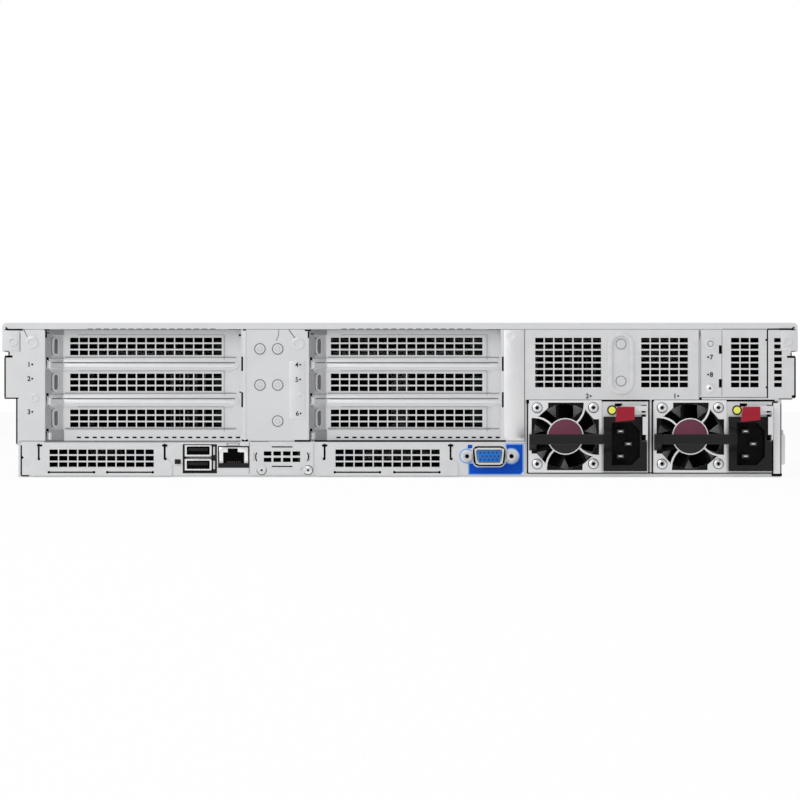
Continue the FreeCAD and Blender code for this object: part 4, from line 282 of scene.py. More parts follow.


# Ports and small metal parts: plated shells of drawn sheet, soldered to the board, brass
# inlet pins coloured dark as painted shade deep in their inlets, plated fasteners, and the
# clear tinted lamp lens of each supply.

port_metal = sheet_metal("port_metal", (0.70, 0.705, 0.71), (0.58, 0.585, 0.59), (1, 1, 0.2),
                         roughness=0.32)
port_metal.onto(nodes["usb_ports"], nodes["network_port"], nodes["video_port"])
socket_rim = sheet_metal("socket_rim", (0.86, 0.865, 0.87), (0.76, 0.765, 0.77), (1, 1, 0.2),
                         roughness=0.3)
rivet_metal = sheet_metal("rivet_metal", zinc_pale, zinc_dark, (1, 1, 1), roughness=0.34)
rivet_metal.onto(nodes["rear_fasteners"])
# Painted shade: the pins are coloured dark for the shade in the inlet.
shaded_pin_metal = sheet_metal("shaded_pin_metal", (0.10, 0.095, 0.08), (0.05, 0.047, 0.04), (1, 0.1, 1))
shaded_pin_metal.onto(nodes["psu_left_inlet_pins"], nodes["psu_right_inlet_pins"])
for side in ("left", "right"):
    lens = Finish(f"lens_{side}")
    cloud = lens.noise(900.0, 2.0)
    lens.set(Base_Color=cloud.mixed((0.62, 0.62, 0.04), (0.80, 0.80, 0.10)),
             Roughness=0.2 + cloud * 0.1, Emission_Color=(0.8, 0.8, 0.15, 1),
             Emission_Strength=0.25, Coat_Weight=0.6)
    lens.onto(nodes[f"psu_{side}_indicator"])


# Rivets and pressings of the cage plates. The rivets are steel, set flush in the plate
# with a fine shadow line round each head; the round bosses are pressed into the sheet.

def pick(*pieces):
    """Select these pieces alone, because the operators act on all that is selected."""
    bpy.ops.object.select_all(action="DESELECT")
    for piece in pieces:
        piece.select_set(True)
        bpy.context.view_layer.objects.active = pieces[0]


def settle(piece, name, body, finish):
    """Name a finished piece, put its place in its mesh and tie it to its body."""
    piece.name = name
    pick(piece)
    bpy.ops.object.transform_apply()
    finish.onto(piece)
    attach(piece, body)


def ring_of(x, z, radius, sides=24):
    """Points of a round outline in X and Z."""
    turn = 2 * math.pi / sides
    return [(x + radius * math.cos(turn * k), z + radius * math.sin(turn * k))
            for k in range(sides)]


def box_of(x_low, x_high, z_low, z_high, radius=0.0, steps=5):
    """Points of a rectangle in X and Z with rounded corners."""
    if radius == 0:
        return [(x_low, z_low), (x_high, z_low), (x_high, z_high), (x_low, z_high)]
    corners = ((x_high - radius, z_high - radius), (x_low + radius, z_high - radius),
               (x_low + radius, z_low + radius), (x_high - radius, z_low + radius))
    points = []
    for number, (x, z) in enumerate(corners):
        for k in range(steps + 1):
            angle = math.radians(90 * number + 90 * k / steps)
            points.append((x + radius * math.cos(angle), z + radius * math.sin(angle)))
    return points


def centred(x, z, half_width, half_height, radius=0.0, steps=5):
    """Points of a rectangle about its middle."""
    return box_of(x - half_width, x + half_width, z - half_height,
                  z + half_height, radius, steps)


def washer(x, z, outer, inner, sides):
    """Outlines of a flat ring."""
    return [ring_of(x, z, outer, sides), ring_of(x, z, inner, sides)]


def frame_of(x, half_width, z_low, z_high, radius, wall, inner_radius):
    """Outlines of a rounded frame with the same wall all round."""
    return [box_of(x - half_width, x + half_width, z_low, z_high, radius),
            box_of(x - half_width + wall, x + half_width - wall, z_low + wall, z_high - wall,
                   inner_radius)]


def profile_of(loops, face, thickness):
    """A filled flat curve that faces the rear at the depth given."""
    profile = bpy.data.curves.new("profile", "CURVE")
    profile.dimensions = "2D"
    profile.fill_mode = "BOTH"
    profile.extrude = thickness * MM / 2
    for loop in loops:
        spline = profile.splines.new("POLY")
        spline.points.add(len(loop) - 1)
        spline.use_cyclic_u = True
        for point, (x, z) in zip(spline.points, loop):
            point.co = (x * MM, z * MM, 0, 1)
    piece = bpy.data.objects.new("profile", profile)
    bpy.context.scene.collection.objects.link(piece)
    piece.rotation_euler = (math.radians(90), 0, 0)
    piece.location = (0, (face + thickness / 2) * MM, 0)
    return piece


def marks(name, finish, loops, face, thickness, body="chassis"):
    """Fine lines and spots in one piece; each is cut by itself, so they may cross."""
    pieces = [profile_of([loop], face, thickness) for loop in loops]
    pick(*pieces)
    bpy.ops.object.convert(target="MESH")
    bpy.ops.object.join()
    settle(bpy.context.object, name, body, finish)


def plate(loops, face, thickness, bevel=0.0):
    """A flat piece cut from closed outlines; an outline inside another is a hole. Its
    rim is rounded where a bevel is given."""
    piece = profile_of(loops, face, thickness)
    pick(piece)
    bpy.ops.object.convert(target="MESH")
    bpy.ops.object.transform_apply()
    bpy.ops.object.mode_set(mode="EDIT")
    bpy.ops.mesh.select_all(action="SELECT")
    bpy.ops.mesh.remove_doubles(threshold=1e-7)
    bpy.ops.mesh.normals_make_consistent()
    bpy.ops.object.mode_set(mode="OBJECT")
    if bevel:
        rim = piece.modifiers.new("rim", "BEVEL")
        rim.width = bevel * MM
        rim.segments = 3
        rim.limit_method = "ANGLE"
        rim.angle_limit = math.radians(50)
        bpy.ops.object.modifier_apply(modifier="rim")
        bpy.ops.object.shade_smooth_by_angle(angle=math.radians(40))
    return piece


def flat(name, finish, loops, face, thickness, bevel=0.0, body="chassis"):
    """Cut a flat piece, name it and tie it to its body."""
    settle(plate(loops, face, thickness, bevel), name, body, finish)


recess_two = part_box("riser_cage_2")[0].x / MM + 36.0
slot_pitch = 20.32
slot_z = [73.8 - slot_pitch * slot for slot in range(3)]
panel_x = 124.5
solid_rivets = [(recess_two - 17.5, z - 1.5) for z in slot_z]
solid_rivets += [(recess_two - 27.5, z - 1.5) for z in slot_z[:2]]
hollow_rivets = [(panel_x, 54.2), (panel_x, 75.0)]
# Finishes for painted shade: a painted shadow line round heads and under lips, a dark grey for
# creases, seams and rings, and a near-black for the shade in gaps, slots, holes and wells.
shadow_line = moulded("shadow_line", (0.09, 0.09, 0.095), 0.8, shine=0.1)
painted_shade_grey = moulded("painted_shade_grey", (0.20, 0.20, 0.205), 0.8, shine=0.1)
painted_shade_black = moulded("painted_shade_black", (0.002, 0.002, 0.002), 0.9, shine=0.05)
loops = []
for x, z in solid_rivets:
    loops += washer(x, z, 3.15, 2.75, 40)
    loops += washer(x, z, 1.3, 1.2, 24)
flat("rivet_shadow_lines", shadow_line, loops, REAR - 0.42, 0.4)
loops = []
for x, z in hollow_rivets:
    loops += washer(x, z, 2.95, 2.6, 40)
flat("hollow_rivet_shadow_lines", painted_shade_grey, loops, REAR + 0.1, 0.45)

boss_places = [(-207.3, 76.0, 3.6), (-205.7, 44.8, 2.4), (-57.4, 75.3, 3.6), (-55.7, 45.4, 2.4),
               (174.9, 75.2, 3.2), (174.6, 50.0, 3.0)]
for number, (x, z, radius) in enumerate(boss_places, start=1):
    flat(f"pressed_boss_{number}", zinc_sheet,
         [ring_of(x, z, radius, 40), ring_of(x, z, radius * 0.55, 32)], REAR - 0.4, 0.5, 0.4)
flat("numeral_panel", zinc_sheet, [box_of(recess_two - 11.1, recess_two - 2.0, 32.8, 65.4, 0.8)],
     REAR - 0.3, 0.35, 0.25)
bead_z = 64.3
flat("pressed_bead", zinc_sheet,
     [centred(panel_x, bead_z, 7.3, 17.6, 7.25, 10),
      centred(panel_x, bead_z, 4.9, 15.4, 4.85, 10)], REAR - 0.9, 1.1, 0.85)


# Slot numerals: small plain figures printed in black beside the expansion slots and
# over each supply, each with a dot that points at its slot.

ink = moulded("numeral_ink", (0.01, 0.01, 0.011), 0.7, shine=0.2)
numerals = [("1 •", -208.2, 63.4), ("2 •", -208.2, 55.4), ("3 •", -208.2, 36.7),
            ("4 •", -57.3, 63.2), ("5 •", -57.3, 54.9), ("6 •", -57.0, 35.8),
            ("• 7", 174.6, 67.5), ("• 8", 174.6, 57.7),
            ("2 •", 106.3, 45.6), ("1 •", 155.6, 45.6)]
figure_height = 3.7
for number, (words, x, z) in enumerate(numerals, start=1):
    pick()
    bpy.ops.object.text_add(location=(x * MM, (REAR - 0.34) * MM, z * MM),
                            rotation=(math.radians(90), 0, 0))
    figure = bpy.context.object
    figure.data.body = words
    figure.data.size = figure_height * MM
    figure.data.extrude = 0.03 * MM
    figure.data.align_x = "CENTER"
    figure.data.align_y = "CENTER"
    figure.data.offset = 0.07 * MM
    figure.data.space_character = 0.8
    bpy.ops.object.convert(target="MESH")
    settle(bpy.context.object, f"slot_figure_{number}", "chassis", ink)


# Pressings of the riser cages: upright ribs on the sloping walls beside the slots, in the
# cage's own sheet, each with a grey crease of painted shade down one side; a small hooked
# clip at the end of each bar, a bright steel tab that is partly a painted highlight, in a
# black slot of painted shade; and a bead along each bar, with a grey fold and crease of
# painted shade at its top and a crest of brighter steel below it, a painted highlight.

steel_and_glint = sheet_metal("steel_and_glint", (0.95, 0.95, 0.95), (0.85, 0.85, 0.86), (1, 1, 1),
                         roughness=0.25)
recess_left[2] = recess_two
bar_z = [63.6, 43.3, 23.4]
recess_floor = REAR + 10.0


def on_slope(name, finish, place, loops, face, thickness, bevel=0.0):
    """A flat piece turned onto a sloping wall; its place is X and the depth from the rear."""
    piece = plate(loops, face, thickness, bevel)
    piece.rotation_euler = (0, 0, math.radians(45))
    piece.location = (place[0] * MM, (REAR + place[1]) * MM, 0)
    settle(piece, name, "chassis", finish)


for cage, left in recess_left.items():
    for slot, z in enumerate(slot_z, start=1):
        rib_place = (left + 5.6, 5.6)
        on_slope(f"wall_rib_{cage}_{slot}", zinc_sheet, rib_place,
                 [box_of(-2.6, 2.6, z - 5.3, z + 5.3, 2.55, 8),
                  box_of(-1.5, 1.5, z - 4.3, z + 4.3, 1.45, 8)], -0.5, 0.9, 0.45)
        # Painted shade: a grey crease down one side of the rib.
        on_slope(f"wall_crease_{cage}_{slot}", painted_shade_grey, rib_place,
                 [box_of(0.7, 2.0, z - 4.6, z + 4.6, 0.6, 5)], -0.2, 0.3)
    for bar, z in enumerate(bar_z, start=1):
        # Painted shade: a black slot round the clip. The clip is bright steel, partly a painted
        # highlight.
        on_slope(f"clip_slot_{cage}_{bar}", painted_shade_black, (left + 1.6, 1.6),
                 [box_of(-1.3, 0.5, z + 2.0, z + 4.0, 0.5),
                  box_of(-1.1, 1.1, z - 4.0, z - 3.1, 0.4),
                  box_of(-1.5, -0.9, z - 3.6, z + 2.4, 0.2)], -0.12, 0.2)
        on_slope(f"clip_{cage}_{bar}", steel_and_glint, (left + 2.0, 2.0),
                 [box_of(-0.8, 1.5, z - 2.6, z + 1.9, 1.0)], -0.9, 0.8, 0.5)
        if bar < 3:
            start = left + 4.6
            end = left + 107.6
            flat(f"bar_bead_{cage}_{bar}", zinc_sheet,
                 [box_of(start - 1.4, end + 1.4, z - 3.0, z + 2.7, 2.8, 8),
                  box_of(start, end, z - 1.9, z + 1.3, 1.55, 8)], recess_floor - 0.4, 0.5, 0.3)
            ramp_place = (left + 5.0, 5.0)
            on_slope(f"bar_ramp_{cage}_{bar}", zinc_sheet, ramp_place,
                     [box_of(-4.4, 7.0, z - 3.0, z + 2.7, 2.2, 8),
                      box_of(-3.0, 6.6, z - 1.9, z + 1.3, 1.5, 8)], -0.4, 0.6, 0.25)
            # Painted shade: a grey fold and crease along the top of the bead.
            on_slope(f"bar_fold_{cage}_{bar}", painted_shade_grey, ramp_place,
                     [box_of(-3.0, 6.9, z + 0.7, z + 1.5, 0.35, 4)], -0.15, 0.2)
            flat(f"bar_crease_{cage}_{bar}", painted_shade_grey,
                 [box_of(start, end - 0.4, z + 0.7, z + 1.5, 0.35, 4)], recess_floor - 0.1, 0.2)
            # Painted highlight: a crest of brighter steel for the lit lower side of the bead.
            flat(f"bar_highlight_crest_{cage}_{bar}", guard_steel,
                 [box_of(start + 0.6, end - 0.8, z - 1.7, z + 0.5, 1.0, 6)], recess_floor - 0.25,
                 0.4, 0.3)


# Gaps between the folded sheets. The parts only meet edge to edge, so the dark inside of
# the machine shows in fine lines, wider where a corner is relieved for the bend. Each line
# is a black or grey strip of painted shade set just proud of the sheet. So are the dark
# edges along the side walls, the slots along the bars and the lip, and the painted
# shadow under the edges of the slot blanks.

def line_of(x_low, x_high, z, width):
    return box_of(x_low, x_high, z - width / 2, z + width / 2)


def upright_of(x, z_low, z_high, width):
    return box_of(x - width / 2, x + width / 2, z_low, z_high)


blank_shadow = moulded("blank_shadow", (0.34, 0.34, 0.345), 0.8, shine=0.1)
wide_gaps = [
    line_of(206.8, 214.0, 83.4, 0.8), line_of(-222.6, -218.2, 68.0, 1.2),
    upright_of(-220.2, 68.6, 70.6, 0.8),
    line_of(218.0, 222.6, 67.8, 1.2), upright_of(220.3, 68.3, 70.2, 0.7),
    line_of(-200.4, -197.4, 83.0, 0.8), upright_of(-199.3, 78.6, 82.4, 0.9),
    line_of(-198.8, -197.2, 81.3, 0.6),
    line_of(-53.6, -50.2, 82.7, 0.8), upright_of(-51.6, 78.4, 82.2, 0.8),
    line_of(-50.4, -48.4, 80.7, 0.6),
    upright_of(-88.9, 59.8, 67.9, 1.0), upright_of(-88.9, 39.4, 47.9, 1.0),
    ring_of(-90.2, 80.0, 0.7, 12), ring_of(-87.5, 82.7, 0.9, 12), ring_of(-90.0, 47.9, 0.5, 12),
    upright_of(57.9, 59.8, 67.9, 1.0), upright_of(57.9, 39.4, 47.9, 1.0),
    upright_of(206.95, 44.6, 83.0, 0.75), ring_of(206.3, 77.3, 0.6, 12),
    ring_of(206.5, 50.6, 0.6, 12), ring_of(169.2, 44.0, 0.9, 12),
    line_of(-89.0, -85.6, 20.7, 1.2), line_of(-59.4, -50.4, 20.4, 1.2),
    line_of(-48.2, 59.6, 20.4, 1.0),
    line_of(-203.2, -200.0, 18.6, 1.2), line_of(-213.4, -209.0, 0.9, 0.7),
    ring_of(-212.7, 11.1, 0.7, 12),
]
lower_face = REAR - 1.0
blank_gaps = []
for x, side in ((-203.3, 1), (-132.1, -1), (-42.8, 1), (28.9, -1)):
    blank_gaps += [box_of(x - 1.5 + 0.4 * side, x + 1.5 + 0.4 * side, 17.3, 18.5, 0.3),
                  ring_of(x, 10.3, 0.75, 12)]
for x, length in ((-198.0, 26.0), (-165.1, 26.2), (-37.0, 26.0), (-3.5, 26.0)):
    blank_gaps += [line_of(x, x + length, 2.75, 0.65), ring_of(x + 0.3, 2.85, 0.75, 12),
                  ring_of(x + length - 0.3, 2.85, 0.75, 12)]
wide_gaps += [
    upright_of(-222.45, 45.0, 67.6, 0.85), line_of(-222.8, -214.9, 44.5, 0.75),
    upright_of(-215.85, 18.8, 44.3, 0.8), upright_of(-213.3, 1.0, 18.0, 0.75),
    upright_of(222.5, 45.0, 67.6, 0.9), box_of(220.6, 222.9, 44.7, 46.2, 0.5),
    line_of(213.2, 221.0, 44.1, 0.5),
    box_of(71.2, 140.6, 42.7, 43.7, 0.2), box_of(141.8, 211.0, 42.7, 43.7, 0.2),
    box_of(71.2, 74.8, 41.5, 43.5, 0.4), box_of(106.5, 112.0, 42.4, 43.4, 0.3),
    box_of(176.5, 182.0, 42.4, 43.4, 0.3), line_of(71.5, 211.0, 2.35, 0.6),
    upright_of(209.9, 2.4, 42.4, 0.8), upright_of(214.5, 2.0, 41.5, 0.45),
    box_of(209.4, 214.6, 0.6, 2.6, 0.4),
]
marks("sheet_gaps", painted_shade_black, wide_gaps, REAR - 0.06, 0.1)
marks("blank_gaps", painted_shade_black, blank_gaps, lower_face - 0.06, 0.1)
fine_gaps = [
    line_of(-199.0, -97.0, 83.2, 0.4), line_of(-49.8, 49.0, 83.2, 0.4),
    line_of(181.7, 206.4, 83.4, 0.5), line_of(-84.0, -74.0, 19.9, 0.45),
    line_of(-200.4, -90.0, 19.9, 0.5), upright_of(70.25, 20.6, 83.0, 0.4),
    upright_of(169.4, 46.0, 81.4, 0.35), upright_of(181.3, 45.6, 83.0, 0.3),
    [(-68.4, 83.2), (-68.0, 83.2), (-68.3, 79.6), (-69.5, 76.9), (-69.9, 77.1), (-68.7, 79.8)],
    upright_of(-84.9, 2.0, 19.6, 0.35),
    upright_of(-214.0, 70.6, 81.0, 0.45), line_of(-216.4, -213.9, 81.4, 0.4),
    [(-212.2, 83.2), (-211.6, 83.2), (-209.2, 77.8), (-209.6, 77.8)],
    [(-62.9, 83.0), (-62.4, 83.3), (-58.9, 78.6), (-59.4, 78.2)],
    [(168.8, 83.0), (169.4, 83.0), (168.9, 77.6), (168.3, 77.8)],
]
marks("fine_gaps", painted_shade_grey, fine_gaps, REAR - 0.05, 0.08)
loops = []
for left, right in ((-182.8, -87.8), (-36.0, 59.0)):
    pitch = (right - left - 5.0) / 20
    for dash in range(21):
        loops.append(box_of(left + pitch * dash, left + pitch * dash + 2.5, 21.9, 22.8, 0.35, 3))
flat("bar_slots", painted_shade_black, loops, recess_floor - 0.1, 0.15)
loops = []
for left, right in ((-176.0, -104.0), (-33.0, 40.0)):
    pitch = (right - left - 3.0) / 15
    for dash in range(16):
        loops.append(box_of(left + pitch * dash, left + pitch * dash + 3.0, 83.35, 83.75, 0.15, 3))
flat("lip_slots", shadow_line, loops, REAR - 0.06, 0.1)
loops = []
for left in recess_left.values():
    for z in bar_z:
        loops.append(line_of(left + 10.6, left + 107.5, z + 3.95, 0.75))
    for z in slot_z:
        loops += [upright_of(left + 100.6, z - 7.6, z + 6.4, 0.3),
                  line_of(left + 18.0, left + 100.6, z + 6.6, 0.25)]
marks("blank_edges", blank_shadow, loops, recess_floor - 0.15, 0.2)


# Folded tabs and lips: the cover's rear corners turn down over the side walls, the first
# riser cage laps the second, and the second cage ends in a plain upright post.

for side, name in ((-1, "left"), (1, "right")):
    flat(f"corner_tab_{name}", cover_sheet,
         [box_of(*sorted((side * 214.4, side * 223.6)), 71.2, 82.8, 0.7)], REAR - 0.35, 0.5, 0.15,
         "cover")
    flat(f"corner_dimple_{name}", cover_sheet,
         [ring_of(side * 218.2, 76.4, 2.9, 40), ring_of(side * 218.2, 76.4, 1.5, 32)], REAR - 0.75,
         0.6, 0.5, "cover")
cover_lines = [line_of(-220.9, -212.4, 83.1, 0.9), line_of(213.5, 221.4, 83.4, 0.9),
               [(-222.4, 84.2), (-221.2, 82.7), (-220.6, 83.3), (-221.7, 84.6)],
               [(221.0, 83.1), (222.4, 84.3), (221.8, 84.8), (220.6, 83.8)]]
marks("cover_corner_gaps", painted_shade_black, cover_lines, REAR - 0.42, 0.1, "cover")
flat("cage_lap", zinc_sheet, [box_of(-88.2, -86.6, 20.9, 82.6, 0.5)], REAR - 0.3, 0.35, 0.2)
post_white = sheet_metal("post_white", (0.86, 0.86, 0.865), (0.80, 0.80, 0.805), (1, 1, 0.1))
flat("cage_post", post_white,
     [[(58.6, 22.8), (60.4, 20.9), (68.2, 20.9), (69.9, 22.8), (69.9, 82.8), (58.6, 82.8)]],
     REAR - 0.2, 0.3, 0.2)
flat("post_boss", post_white, [ring_of(62.4, 79.5, 2.8, 40), ring_of(62.4, 79.5, 1.5, 32)],
     REAR - 0.5, 0.4, 0.3)
flat("wall_strip", post_white, [box_of(210.3, 214.2, 2.0, 41.8, 0.3)], REAR - 0.2, 0.4, 0.25)
flat("wall_bulge", zinc_sheet, [box_of(214.6, 216.9, 7.0, 24.2, 1.0)], REAR + 0.3, 0.8, 0.3)
flat("wall_foot", painted_shade_black,
     [[(209.6, 0.8), (215.2, 0.8), (215.2, 2.0), (212.6, 2.6), (209.6, 2.6)]], REAR - 0.1, 0.3)


# Third riser cage: a captive screw in a round hole above the figures, and a plain
# low-headed screw below them.

flat("captive_hole_rim", painted_shade_grey, washer(174.9, 75.2, 1.95, 1.35, 32), REAR - 0.06, 0.1)


def lobed(x, z, radius, swing, sides):
    """Points of a six-lobed socket."""
    points = []
    for k in range(sides):
        angle = 2 * math.pi * k / sides
        reach = radius + swing * math.cos(6 * angle)
        points.append((x + reach * math.cos(angle), z + reach * math.sin(angle)))
    return points


def screw_head(x, z, face, radius, rise, socket, name, body="chassis"):
    """Low domed steel head that faces the rear, with a lobed socket sunk in it."""
    pick()
    bpy.ops.mesh.primitive_cylinder_add(
        vertices=32, radius=radius * MM, depth=rise * MM,
        location=(x * MM, (face - rise / 2) * MM, z * MM), rotation=(math.radians(90), 0, 0))
    head = bpy.context.object
    bpy.ops.object.transform_apply()
    bpy.ops.object.mode_set(mode="EDIT")
    bpy.ops.mesh.select_all(action="DESELECT")
    bpy.ops.object.mode_set(mode="OBJECT")
    for side in head.data.polygons:
        side.select = side.normal.y < -0.9
    bpy.ops.object.mode_set(mode="EDIT")
    bpy.ops.mesh.select_mode(type="FACE")
    bpy.ops.mesh.inset(thickness=radius * 0.22 * MM, depth=rise * 0.3 * MM)
    bpy.ops.mesh.inset(thickness=(radius * 0.78 - socket) * MM, depth=rise * 0.1 * MM)
    bpy.ops.mesh.inset(thickness=socket * 0.12 * MM, depth=-rise * 0.5 * MM)
    bpy.ops.object.mode_set(mode="OBJECT")
    bpy.ops.object.shade_smooth_by_angle(angle=math.radians(35))
    # Painted shade: the socket's floor is black, and a painted shadow ring lies round the head.
    flat(name + "_socket", painted_shade_black, [lobed(x, z, 0.8 * socket, 0.2 * socket, 36)],
         face - rise - 0.02, rise * 0.4, body=body)
    flat(name + "_shadow", shadow_line, washer(x, z, radius + 0.45, radius - 0.1, 36), face - 0.06,
         0.1, body=body)
    settle(head, name, body, guard_steel)


screw_head(174.6, 50.0, REAR, 2.0, 0.7, 0.75, "riser_three_screw")
for number, x in enumerate((-77.9, -51.7), start=1):
    screw_head(x, 4.0, lower_face, 2.35, 0.8, 0.8, f"serial_screw_{number}")
arcs = [line_of(-72.3, -60.4, 17.1, 0.45), line_of(-72.3, -60.4, 6.1, 0.45)]
arc_x = -66.4
for turn in (180, 0):
    outer = []
    inner = []
    for k in range(13):
        angle = math.radians(turn - 17 + 34 * k / 12)
        outer.append((arc_x + 15.2 * math.cos(angle), 11.5 + 8.6 * math.sin(angle)))
        inner.append((arc_x + 14.5 * math.cos(angle), 11.5 + 8.0 * math.sin(angle)))
    arcs.append(outer + inner[::-1])
marks("serial_arcs", painted_shade_black, arcs, lower_face - 0.05, 0.1)


# Power supplies: each guard is held by four pan-head screws, carries a round two-tone
# label on its hub, and the status lamp sits in a black bezel.

fan_inset = 12.9
fan_z = 23.0
lamp_shift = fan_inset + 13.4
guard_face = REAR - 0.8
lamp_z = 37.8
guard_corners = ((-15.9, 16.1), (15.8, 16.2), (-15.9, -15.5), (15.8, -15.4))
for side, middle_x in psu_x.items():
    x = middle_x - fan_inset
    body = f"psu_{side}"
    for number, (dx, dz) in enumerate(guard_corners):
        screw_head(x + dx, fan_z + dz, guard_face, 2.6, 1.1, 1.3,
                   f"guard_screw_{side}_{number + 1}", body)
    flat(f"fan_frame_{side}", fan_black,
         [box_of(x - 20.2, x + 20.2, 2.9, 42.4, 2.0), ring_of(x, fan_z, 18.3, 64)], REAR - 0.03,
         0.3, body=body)
    label = Finish(f"hub_label_{side}")
    cloud = label.noise(900.0, 2.0)
    upper = label.z > (fan_z + 0.2) * MM
    tone = upper.mixed((0.022, 0.021, 0.023), (0.15, 0.036, 0.066))
    label.set(Base_Color=tone, Roughness=0.45 + cloud * 0.1, Specular_IOR_Level=0.25)
    label.bump(cloud, 0.1, 0.00004)
    flat(f"hub_label_{side}", label, [ring_of(x, fan_z, 9.7, 64)], REAR - 1.05, 0.3, 0.1, body)
    flat(f"hub_rim_{side}", guard_steel, washer(x, fan_z, 10.3, 9.7, 64), REAR - 1.15, 0.4, 0.1,
         body)
    flat(f"lamp_bezel_{side}", inlet_black, washer(x + lamp_shift, lamp_z, 2.75, 2.0, 40),
         REAR - 0.65, 0.7, 0.15, body)
    pin_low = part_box(f"psu_{side}_inlet_pins")[0].y / MM
    # Painted highlights: a small bright dash on the end of each inlet pin.
    for number, (dx, z) in enumerate(((31.2, 25.9), (35.6, 18.8), (31.2, 11.9)), start=1):
        flat(f"pin_glint_{side}_{number}", steel_and_glint, [centred(x + dx, z, 1.1, 0.3, 0.25, 3)],
             pin_low - 0.1, 0.2, 0.08, body)
    flat(f"lever_wire_{side}", guard_steel, [box_of(x + 38.4, x + 45.9, 35.3, 36.4, 0.4, 4)],
         REAR - 1.2, 0.8, 0.3, body)
    flat(f"lever_notch_{side}", painted_shade_black, [box_of(x + 27.8, x + 32.0, 39.8, 41.6, 0.3)],
         REAR - 0.1, 0.3, body=body)


# Video socket: a black ring of painted shade round the plated shell, where its cut-out lies
# in shade, a blue insert with fifteen contact holes in three rows, and a blue printed field
# with pale lands at the posts.

video_x = 50.2
video_z = 11.9
post_reach = 12.5
field_blue = moulded("field_blue", (0.0, 0.075, 0.53), 0.6, 600.0, 0.00002, shine=0.15)
edge_blue = moulded("edge_blue", (0.22, 0.42, 0.85), 0.6, 600.0, 0.00002, shine=0.15)
field = [(39.0, 1.9), (67.7, 1.9), (69.0, 3.2), (69.0, 18.3), (60.0, 18.3), (60.0, 7.6),
         (39.0, 7.6)]
margin = [(38.3, 1.3), (68.0, 1.3), (69.7, 3.0), (69.7, 19.1), (59.3, 19.1), (59.3, 8.2),
          (38.3, 8.2)]
flat("video_field_margin", edge_blue, [margin], REAR - 0.05, 0.06)
flat("video_field", field_blue, [field, box_of(38.1, 40.7, 16.2, 18.3)], REAR - 0.09, 0.06)
land_pale = moulded("land_pale", (0.78, 0.785, 0.79), 0.5)
posts = ((video_x - post_reach, 3.5), (video_x + post_reach, 3.9))
for number, (x, radius) in enumerate(posts, start=1):
    flat(f"post_land_edge_{number}", edge_blue, washer(x, video_z, radius + 0.75, radius, 40),
         REAR - 0.12, 0.08)
    flat(f"post_land_{number}", land_pale,
         [ring_of(x, video_z, radius, 40), ring_of(x, video_z, 2.1, 32)], REAR - 0.14, 0.1)


def shield_of(half_width, half_height, radius, lean=0.9):
    """Outline of the socket: a rounded box drawn in towards its lower edge."""
    points = box_of(-half_width, half_width, -half_height, half_height, radius, 8)
    return [(video_x + x * (1 - lean / half_width * (half_height - z) / (2 * half_height)),
             video_z + z) for x, z in points]


flat("collar_halo", land_pale, [shield_of(10.2, 6.3, 3.6), shield_of(8.4, 4.7, 2.4)], REAR - 0.17,
     0.1)
# Painted shade: a black ring round the shell.
flat("video_cutout_shade", painted_shade_black, [shield_of(9.4, 5.6, 3.0), shield_of(8.4, 4.7, 2.3)], REAR - 0.9,
     0.9, 0.2)
flat("video_shell_rim", socket_rim, [shield_of(8.4, 4.7, 2.3), shield_of(7.6, 3.9, 1.7)],
     REAR - 5.4, 0.9, 0.25)
for number, (x, radius) in enumerate(posts, start=1):
    flat(f"post_thread_{number}", painted_shade_black, [ring_of(x, video_z, 0.95, 24)], REAR - 5.7, 0.3)
insert_blue = moulded("insert_blue", (0.02, 0.17, 0.56), 0.6, shine=0.2)
flat("video_insert", insert_blue,
     [[(video_x - 6.9, video_z + 3.2), (video_x - 6.0, video_z - 3.2),
       (video_x + 6.0, video_z - 3.2), (video_x + 6.9, video_z + 3.2)]], REAR - 5.2, 0.5, 0.12)
# Painted shade: each contact hole is a dark blue disc on the insert.
hole_shade_blue = moulded("hole_shade_blue", (0.004, 0.04, 0.24), 0.7)
contact_step = 2.3
row_step = 1.95
loops = []
for row in range(3):
    for column in range(5):
        x = video_x + contact_step * (column - 2) + (1.1 if row == 1 else 0.0) - 0.4
        loops.append(ring_of(x, video_z + row_step * (1 - row), 0.62, 12))
flat("video_contacts", hole_shade_blue, loops, REAR - 5.25, 0.1)


# Network and data ports: black moulded housings behind the wall, thick plated rims round
# the two stacked sockets, and gold-plated spring contacts in the network socket.

network_low, network_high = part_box("network_port")
left = network_low.x / MM
right = network_high.x / MM
flat("network_housing_rim", inlet_black,
     [box_of(left - 0.2, right + 0.2, 5.3, 17.5), box_of(left + 0.5, right - 0.5, 8.0, 16.9)],
     REAR - 0.2, 0.3)
socket_x = -93.7
spring_pitch = 1.02
mouth = [(-99.7, 7.3), (-87.6, 7.3), (-87.6, 14.1), (-91.5, 14.1), (-91.5, 17.1), (-97.1, 17.1),
         (-97.1, 14.1), (-99.7, 14.1)]
flat("network_mouth", painted_shade_black, [mouth], REAR + 0.6, 0.5)
windows = ([(-102.2, 9.0), (-99.8, 9.0), (-99.8, 14.2), (-97.2, 14.2), (-97.2, 16.9),
            (-102.2, 16.9)],
           [(-87.5, 9.0), (-85.3, 9.0), (-85.3, 16.9), (-91.4, 16.9), (-91.4, 14.2),
            (-87.5, 14.2)])
for number, window in enumerate(windows, start=1):
    flat(f"network_window_{number}", steel_and_glint, [window], REAR - 0.1, 0.6, 0.15)
flat("network_spring_tab", blank_shadow,
     [box_of(-97.8, -90.2, 17.7, 19.2, 0.4), box_of(-96.9, -91.1, 18.1, 18.9, 0.2)], REAR - 0.25,
     0.3, 0.08)
